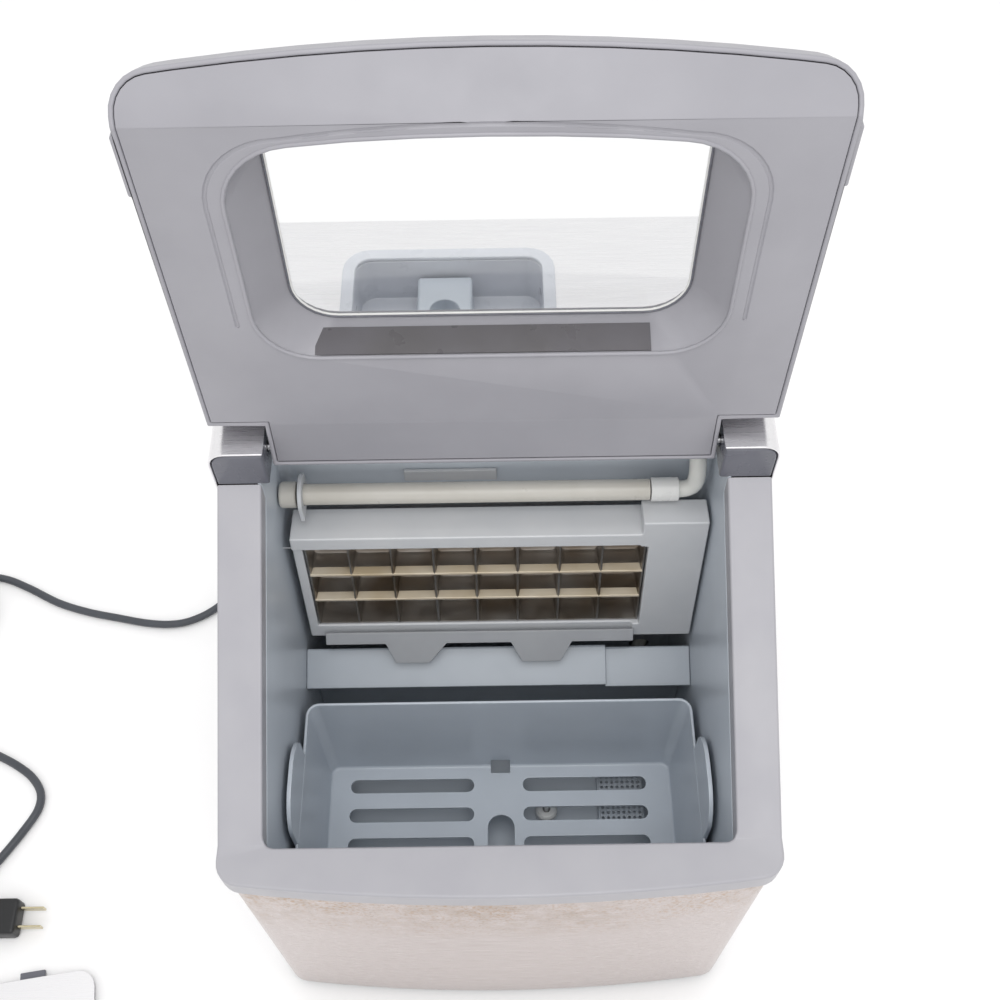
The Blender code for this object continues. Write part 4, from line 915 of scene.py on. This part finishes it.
# %% Flow tube, sleeve and hose
TUBE_AT = Vector((-0.0120, 0.0330, 0.3085))
ALONG = (1, 0, 0)
bore = [(4.5, 99.0), (6.0, 98.6), (6.0, -98.6), (4.5, -99.0), (4.5, 99.0)]
flow_tube = turned("flow_tube", [(r * MM, z * MM) for r, z in bore], facing(TUBE_AT, ALONG))
drill = prism("drill", rounded_rectangle(0.9 * MM, 0.9 * MM, 0.89 * MM, steps=3), -8 * MM, 0)
HOLES = 16
HOLE_PITCH = 12.0 * MM
drills = rows_of("drills", drill, HOLES, 1, HOLE_PITCH, NO_PITCH, CREAM)
place_mesh(drills, Matrix.Translation(TUBE_AT))
carve(flow_tube, drills)
stand_for(soften(flow_tube, 0), CREAM, "spray_tube")

cap = [(0, 9.5), (6.9, 9.5), (7.5, 8.9), (7.5, 1.5), (6.8, 0.3), (6.2, 0), (0, 0)]
tube_cap = turned("flow_tube_cap", [(r * MM, z * MM) for r, z in cap],
                  facing((-0.1209, TUBE_AT.y, TUBE_AT.z), ALONG))
stand_for(soften(tube_cap, 0), CREAM, "spray_tube_cap")
sleeve = [(5.0, 15.5), (6.4, 15.5), (6.8, 15.1), (6.8, 0.4), (6.4, 0), (5.0, 0), (5.0, 15.5)]
hose_end = turned("hose_collar", [(r * MM, z * MM) for r, z in sleeve],
                  facing((0.0873, TUBE_AT.y, TUBE_AT.z), ALONG))
stand_for(soften(hose_end, 0), WHITE, "hose_sleeve")
dressed("tube_bracket", PALE, 0.3)

HOSE_ROUTE = [
    (0.1031, 0.0330, 0.3085), (0.1080, 0.0331, 0.3093), (0.1118, 0.0338, 0.3135),
    (0.1125, 0.0360, 0.3215), (0.1125, 0.0415, 0.3278), (0.1125, 0.0500, 0.3300),
    (0.1125, 0.0600, 0.3283), (0.1120, 0.0665, 0.3215), (0.1115, 0.0680, 0.3100),
    (0.1100, 0.0680, 0.2500), (0.1080, 0.0680, 0.1500), (0.1070, 0.0680, 0.0980),
    (0.1062, 0.0655, 0.0850), (0.1045, 0.0590, 0.0765), (0.1020, 0.0500, 0.0750),
    (0.0990, 0.0430, 0.0750),
]
hose = plain(tube("hose_finished", smooth(HOSE_ROUTE, 3 * MM), 4.8 * MM, 6))
stand_for(soften(hose, 0), HOSE, "water_hose")
print("flow tube:", HOLES, "holes at", round(HOLE_PITCH * 1000), "mm")

# %% [markdown]
# ## Pump, filter, float and flap
# The pump stands in the sump behind the chute. Its filter is a low box whose top is perforated:
# one square tile with a round hole, set out in rows and merged, is the whole sieve. A Boolean
# for each hole would be slower and would leave long thin faces.

# %% Pump
pump = [(0, 43.0), (7.6, 43.0), (8.0, 42.6), (8.0, 38.0), (15.7, 38.0), (16.5, 37.2), (16.5, 3.0),
        (18.0, 3.0), (18.0, 0.0), (0, 0.0)]
floor_of_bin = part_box("water_pump")[0].z
pump_piece = turned("pump_finished", [(r * MM, z * MM) for r, z in pump],
                    Matrix.Translation((0.0920, 0.0215, floor_of_bin)))
stand_for(soften(pump_piece, 0.4), WHITE, "water_pump")
print("pump", round(pump[0][1]), "mm tall")

# %% [markdown]
# ## The filter's sieve
# The tiles' outer edges are open, so that merging joins them with no walls between. The edge that
# is left open round the whole sieve is closed by a band.

# %% Filter with its sieve
def sieve_tile(pitch, hole_r, thick, sides=16):
    """A square tile with a round hole, open at its edges so that its neighbours join on."""
    bm = bmesh.new()
    inner = [(hole_r * cos(2 * pi * k / sides), hole_r * sin(2 * pi * k / sides)) for k in range(sides)]
    outer = []
    for x, y in inner:
        grow = pitch / 2 / max(abs(x), abs(y))
        outer.append((x * grow, y * grow))
    loops = [[bm.verts.new((x, y, z)) for x, y in points]
             for points, z in ((outer, 0), (inner, 0), (inner, -thick), (outer, -thick))]
    for a, b in zip(loops, loops[1:]):
        for k in range(sides):
            n = (k + 1) % sides
            bm.faces.new((a[k], a[n], b[n], b[k]))
    mesh = bpy.data.meshes.new("tile")
    bm.to_mesh(mesh)
    bm.free()
    return link("tile", mesh)


filter_low, filter_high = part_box("pump_filter")
SIEVE = (8, 9)
PITCH = 3.6 * MM
sieve = rows_of("filter_sieve", sieve_tile(PITCH, 1.1 * MM, 1.0 * MM), *SIEVE, PITCH, PITCH, LINER,
                merge=0.02 * MM)
sieve_at = Vector(((filter_low.x + filter_high.x) / 2, (filter_low.y + filter_high.y) / 2,
                   filter_high.z))
place_mesh(sieve, Matrix.Translation(sieve_at))
filter_box = copy_of("pump_filter")
half = Vector((SIEVE[0] * PITCH / 2, SIEVE[1] * PITCH / 2))
FIT = 0.1 * MM
reach = Vector((half.x + FIT, half.y + FIT, 0.0))
well_low = sieve_at - reach
well_high = sieve_at + reach
well_low.z = filter_low.z + 1 * MM
well_high.z = filter_high.z + 1 * MM
carve(filter_box, cuboid("well", well_low, well_high))
stand_for(soften(filter_box, 0), LINER, "pump_filter")
bm = bmesh.new()
bm.from_mesh(sieve.data)
open_edges = [edge for edge in bm.edges if len(edge.link_faces) == 1]
bmesh.ops.bridge_loops(bm, edges=open_edges)
bmesh.ops.recalc_face_normals(bm, faces=bm.faces)
bm.to_mesh(sieve.data)
bm.free()
add_to(soften(sieve, 0), LINER, "pump_filter")
for node, edge in (("float_post", 0.2), ("water_float", 0.5)):
    dressed(node, WHITE, edge)
dressed("ice_flap", FLAP_GREY, 0.5)
print("sieve:", SIEVE[0] * SIEVE[1], "holes of 2.2 mm")

# %% [markdown]
# ## Refrigeration
# Behind the bin stand the compressor, a drawn steel can in black enamel with a weld round it, the
# finned condenser and its fan. They are seen only through the louvres and the open casing.

# %% Compressor
can = [(0, 140.0), (8, 139.8), (20, 138.0), (29, 134.6), (36, 130.0), (42, 121), (45, 113),
       (45.4, 105.4), (46.6, 105.0), (47, 104.4), (47, 97.6), (46.6, 97.0), (45.2, 96.4),
       (45, 95.0), (45, 30), (43.4, 19), (40, 12), (35.6, 8), (30, 6), (30, 0), (0, 0)]
compressor = turned("compressor_can", [(r * MM, z * MM) for r, z in can],
                    Matrix.Translation((-0.0780, 0.1120, 0.0045)), 80)
stand_for(soften(compressor, 0), ENAMEL, "compressor")
print("compressor", round(can[0][1]), "mm tall")

# %% [markdown]
# ## Condenser, fan and pipes
# The condenser is a stack of thin aluminium fins on six copper runs, and both are set out in rows.

# %% Condenser, fan, pipes and drain
fins_low, fins_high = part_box("condenser")
FIN_PITCH = 2.2 * MM
fin_size = fins_high - fins_low
fin = cuboid("fin", (-0.11 * MM, -fin_size.y / 2, -fin_size.z / 2),
             (0.11 * MM, fin_size.y / 2, fin_size.z / 2))
fin_count = int((fin_size.x - 6 * MM) / FIN_PITCH)
fins = rows_of("condenser_fins", fin, fin_count, 1, FIN_PITCH, NO_PITCH, ALUMINIUM)
middle = (fins_low + fins_high) / 2
stand_for(place_mesh(fins, Matrix.Translation(middle)), ALUMINIUM, "condenser")
pipe = plain(tube("run", [(-fin_size.x / 2, 0, 0), (fin_size.x / 2, 0, 0)], 3.2 * MM))
runs = rows_of("condenser_pipes", pipe, 1, 6, NO_PITCH, 21 * MM, COPPER)
add_to(soften(place_mesh(runs, Matrix.Translation(middle) @ UPRIGHT), 0), COPPER, "condenser")

dressed("fan_shroud", BLACK_ABS, 0.8)
dressed("fan_motor", BLACK_ABS, 0.8)
dressed("fan_rotor", BLACK_ABS, 0.3)
PIPES = {
    "discharge_pipe": (3.0, [(-0.0780, 0.1120, 0.1450), (-0.0780, 0.1120, 0.1560),
                             (-0.0740, 0.1130, 0.1650), (-0.0600, 0.1200, 0.1720),
                             (-0.0200, 0.1480, 0.1740), (0.0300, 0.1600, 0.1740),
                             (0.0600, 0.1600, 0.1700), (0.0650, 0.1600, 0.1620)]),
    "suction_pipe": (4.0, [(-0.0600, 0.0550, 0.2600), (-0.0600, 0.0640, 0.2600),
                           (-0.0605, 0.0700, 0.2550), (-0.0610, 0.0720, 0.2450),
                           (-0.0640, 0.0790, 0.2000), (-0.0700, 0.0850, 0.1700),
                           (-0.0780, 0.0880, 0.1550), (-0.0790, 0.0880, 0.1455)]),
}
for node, (radius, points) in PIPES.items():
    drawn = plain(tube(node + "_drawn", smooth(points, 4 * MM), radius * MM, 6))
    stand_for(soften(drawn, 0), COPPER, node)
dressed("drain_spout", PALE, 0.4)
dressed("drain_cap", DARK_BACK, 0.5)
print("condenser:", fin_count, "fins")

# %% [markdown]
# ## The deck
# On the deck, a white raised frame surrounds the filling port, a well with a valve for a water
# bottle. Beside it is a gloss-black panel with three buttons and a small display.

# %% Port and controls
dressed("port_frame", PORT_WHITE, 0.8)
dressed("port_well", PORT_WHITE, 0.5)
dressed("port_valve_block", LINER, 0.8)
dressed("control_panel", PIANO_BLACK, 0.6)
dressed("display_lens", LENS, 0.3)
dressed("control_board", LAMINATE, 0.2)
for node in ("power_button", "size_button", "timer_button"):
    dressed(node, WHITE, 0.3)

# %% [markdown]
# ## The hinge
# Two dark blocks at the rear corners carry steel pins, and the lid's tongue turns on them.

# %% Hinge blocks and pins
def low_front(middle):
    return middle.z < tub_high.z + 1 * MM


for side in ("left", "right"):
    dressed("hinge_block_" + side, HINGE_GREY, 1.2, 4, spare=low_front)
    dressed("hinge_pin_" + side, PIN_STEEL, 0.4)
print("lid turns about", tuple(round(v, 4) for v in HINGE))

# %% [markdown]
# ## The lid
# The lid is an outer cover with an inner frame inside it, and a clear pane between them. A groove
# runs round the window in the inner frame. It is cut by a thin tube that follows the window's own
# outline, set a little further out. Everything on the lid is drawn on the closed lid's window
# plane and turned with it.

# %% Places on the lid
LID_TURN = Matrix.Translation(HINGE) @ Matrix.Rotation(-LID_OPEN, 4, "X")
SLOPE = LID_TURN @ Matrix.Translation(LID_BACK) @ Matrix.Rotation(LID_SLOPE, 4, "X")


def groove_line(half_w, low, high, radius, arch):
    """An open line on the slope round three sides of the window; y runs up to the hinge."""
    side = [(half_w, -low), (half_w, -(low + high - radius) / 2)]
    turn = [(half_w - radius * (1 - cos(radians(a))), -high + radius * (1 - sin(radians(a))))
            for a in range(0, 91, 10)]
    reach = half_w - radius
    top = [(reach * k / 8, -high - arch * (1 - (k / 8) ** 2)) for k in range(7, -8, -1)]
    right = [*side, *turn]
    return [*right, *top, *[(-x, y) for x, y in right[::-1]]]


print("window slope", round(LID_SLOPE * 180 / pi, 1), "degrees from the closed lid's level")

# %% [markdown]
# ## The inner frame
# The groove is cut first and the edges are rounded after it, so the groove's own edges are soft
# too. The frame's face has shallow folds, which smooth shading would hide, so they are marked
# sharp.

# %% Inner frame with its groove
GROOVE_R = 0.9 * MM
line = groove_line(0.1153, 0.0720, 0.1765, 0.0340, 0.0060)
inner_frame = copy_of("lid_inner_frame")
groove = plain(tube("groove", [(x, y, -0.15 * MM) for x, y in line], GROOVE_R))
carve(inner_frame, place_mesh(groove, SLOPE))
soften(inner_frame, 0.45, 3, 30)


def crisp_folds(obj, least):
    """Marks the long edges along X sharp, so that a shallow fold in the face shows."""
    bm = bmesh.new()
    bm.from_mesh(obj.data)
    for edge in bm.edges:
        run = edge.verts[0].co - edge.verts[1].co
        if abs(run.x) > least and hypot(run.y, run.z) < 0.5 * MM:
            edge.smooth = False
    bm.to_mesh(obj.data)
    bm.free()


crisp_folds(inner_frame, 30 * MM)
stand_for(inner_frame, HOUSING, "lid_inner_frame")
print("inner frame has", len(inner_frame.data.polygons), "faces")

# %% [markdown]
# ## Beads round the window
# A bead runs along the well's mouth. Round the pane run a dark grey bead, painted shade in the gap at the pane's
# edge, and a white gasket whose white also paints the highlight along that edge. Each follows an outline made as
# the frame's is: straight sides, arched far side, filleted corners.

# %% Beads and gasket
def fillet(points, radii, steps=8):
    """A closed outline with a given radius at each corner, or 0 to keep the corner."""
    out = []
    for i, (corner, radius) in enumerate(zip(points, radii)):
        here = Vector(corner)
        back = (Vector(points[i - 1]) - here).normalized()
        ahead = (Vector(points[(i + 1) % len(points)]) - here).normalized()
        if radius <= 0:
            out.append(tuple(here))
            continue
        half = back.angle(ahead) / 2
        middle = here + (back + ahead).normalized() * radius / sin(half)
        start = here + back * (radius * cos(half) / sin(half)) - middle
        end = here + ahead * (radius * cos(half) / sin(half)) - middle
        first = atan2(start.y, start.x)
        turn = (atan2(end.y, end.x) - first + pi) % (2 * pi) - pi
        out += [(middle.x + radius * cos(first + turn * k / steps),
                 middle.y + radius * sin(first + turn * k / steps)) for k in range(steps + 1)]
    return out


def outline_points(half_w, low, high, radius_low, radius_high, arch, height):
    """A closed line round the window at a height above the slope, arched along its far side."""
    top = [(half_w * t, -high - arch * (1 - t * t)) for t in (0.5, 0.25, 0.0, -0.25, -0.5)]
    points = [(half_w, -high), *top, (-half_w, -high), (-half_w, -low), (half_w, -low)]
    radii = [radius_high, *[0] * len(top), radius_high, radius_low, radius_low]
    return [(x, y, height) for x, y in fillet(points, radii)]


def bead(name, line, radius, material):
    """A round bead moulded along a closed line of the lid."""
    obj = tube(name, line, radius)
    obj.data.splines[0].use_cyclic_u = True
    obj = place_mesh(plain(obj), SLOPE)
    return add_to(soften(obj, 0), material, "lid_inner_frame")


bead("window_edge_bead", outline_points(0.1083, 0.0502, 0.1709, 0.0282, 0.0332, 0.0068, 0.0002),
     1.0 * MM, HOUSING)
# painted shade: a dark grey bead where the gap at the pane's edge lies in shade
bead("pane_edge_bead", outline_points(0.0927, 0.0574, 0.1713, 0.0208, 0.0148, 0.0060, 0.0198),
     0.5 * MM, HINGE_GREY)
# painted highlight: the gasket's white also stands in for the light along the pane's edge
bead("pane_gasket", outline_points(0.0921, 0.0580, 0.1707, 0.0202, 0.0142, 0.0060, 0.0206),
     0.6 * MM, WHITE)
print("three beads round the window")

# %% [markdown]
# ## Well floor, cover and pane
# The flat floor of the well has a darker plate between its round corners: painted shade, where the
# floor lies deep in the well. It leans with the floor's draft and stands slightly proud of it, so that the two
# surfaces don't share a plane.

# %% Inlay, outer cover and pane
WELL_DEEP = 20.6 * MM
WELL_DRAFT = 6.8 * MM
WELL_FLOOR_Y = -50.4 * MM
INLAY_PROUD = 0.6 * MM
# painted shade: a darker plate on the well floor, where the floor lies in shade
inlay = cuboid("well_inlay", (-0.0830, -INLAY_PROUD, 1.2 * MM), (0.0750, INLAY_PROUD, 14.5 * MM))
for vertex in inlay.data.vertices:
    vertex.co.y += WELL_FLOOR_Y - WELL_DRAFT * vertex.co.z / WELL_DEEP
add_to(place_mesh(soften(inlay, 0), SLOPE), WELL_FLOOR_PAINTED_SHADE, "lid_inner_frame")
dressed("lid_outer_cover", HOUSING, 1.0, 4, angle=25)
dressed("lid_window", PANE, 0.3)
print("lid open by", round(LID_OPEN * 180 / pi, 1), "degrees")

# %% [markdown]
# ## The loose cover and the plug
# The port's cover lies on the table: a stainless plate on a dark grey moulded base. The plug is
# moulded on the cord, with two flat blades.

# %% Cover, plug and strain relief
dressed("port_cover", STEEL, 0.4)
dressed("port_cover_base", HINGE_GREY, 0.6)
dressed("plug_body", BLACK_ABS, 0.5)
for side in ("left", "right"):
    dressed("plug_prong_" + side, BLADE, 0.35)
dressed("cord_gland", BLACK_ABS, 0.4)

# %% [markdown]
# ## The table and the light
# A plain white table under a white sky, with a large soft lamp overhead and a little in front.
# A weak one nearer the front reaches under the grid, to the back of the bin.

# %% Floor, world and lamps
floor_material, floor_tree, floor_shader = new_material("table_white", Roughness=0.6)
tone = object_noise(floor_tree, 300.0, 1.0)
floor_tree.links.new(blend_colours(floor_tree, tone.outputs["Fac"], "#F6F5F5", "#FAFAFA"),
                     floor_shader.inputs["Base Color"])
bpy.ops.mesh.primitive_plane_add(size=12, location=(0, 0, TABLE_Z))
floor = bpy.context.object
floor.name = "table"
floor.data.materials.append(floor_material)

world = bpy.data.worlds.new("studio")
bpy.context.scene.world = world
world.use_nodes = True
world.node_tree.nodes["Background"].inputs["Color"].default_value = (1.0, 1.0, 1.0, 1.0)
world.node_tree.nodes["Background"].inputs["Strength"].default_value = 1.0
bpy.context.scene.view_settings.view_transform = "Standard"


def lamp(name, place, target, size, watts):
    """A square soft lamp aimed at a point."""
    data = bpy.data.lights.new(name, "AREA")
    data.size = size
    data.energy = watts
    obj = bpy.data.objects.new(name, data)
    bpy.context.scene.collection.objects.link(obj)
    aim = Vector(target) - Vector(place)
    obj.matrix_world = Matrix.Translation(place) @ aim.to_track_quat("-Z", "Y").to_matrix().to_4x4()
    return obj


lamp("overhead", (0.05, -0.35, 1.9), (0, -0.10, 0.1), 0.9, 8)
lamp("front_fill", (0.0, -0.45, 0.90), (0, 0.0, 0.2), 0.25, 0.7)
print("world and two lamps")
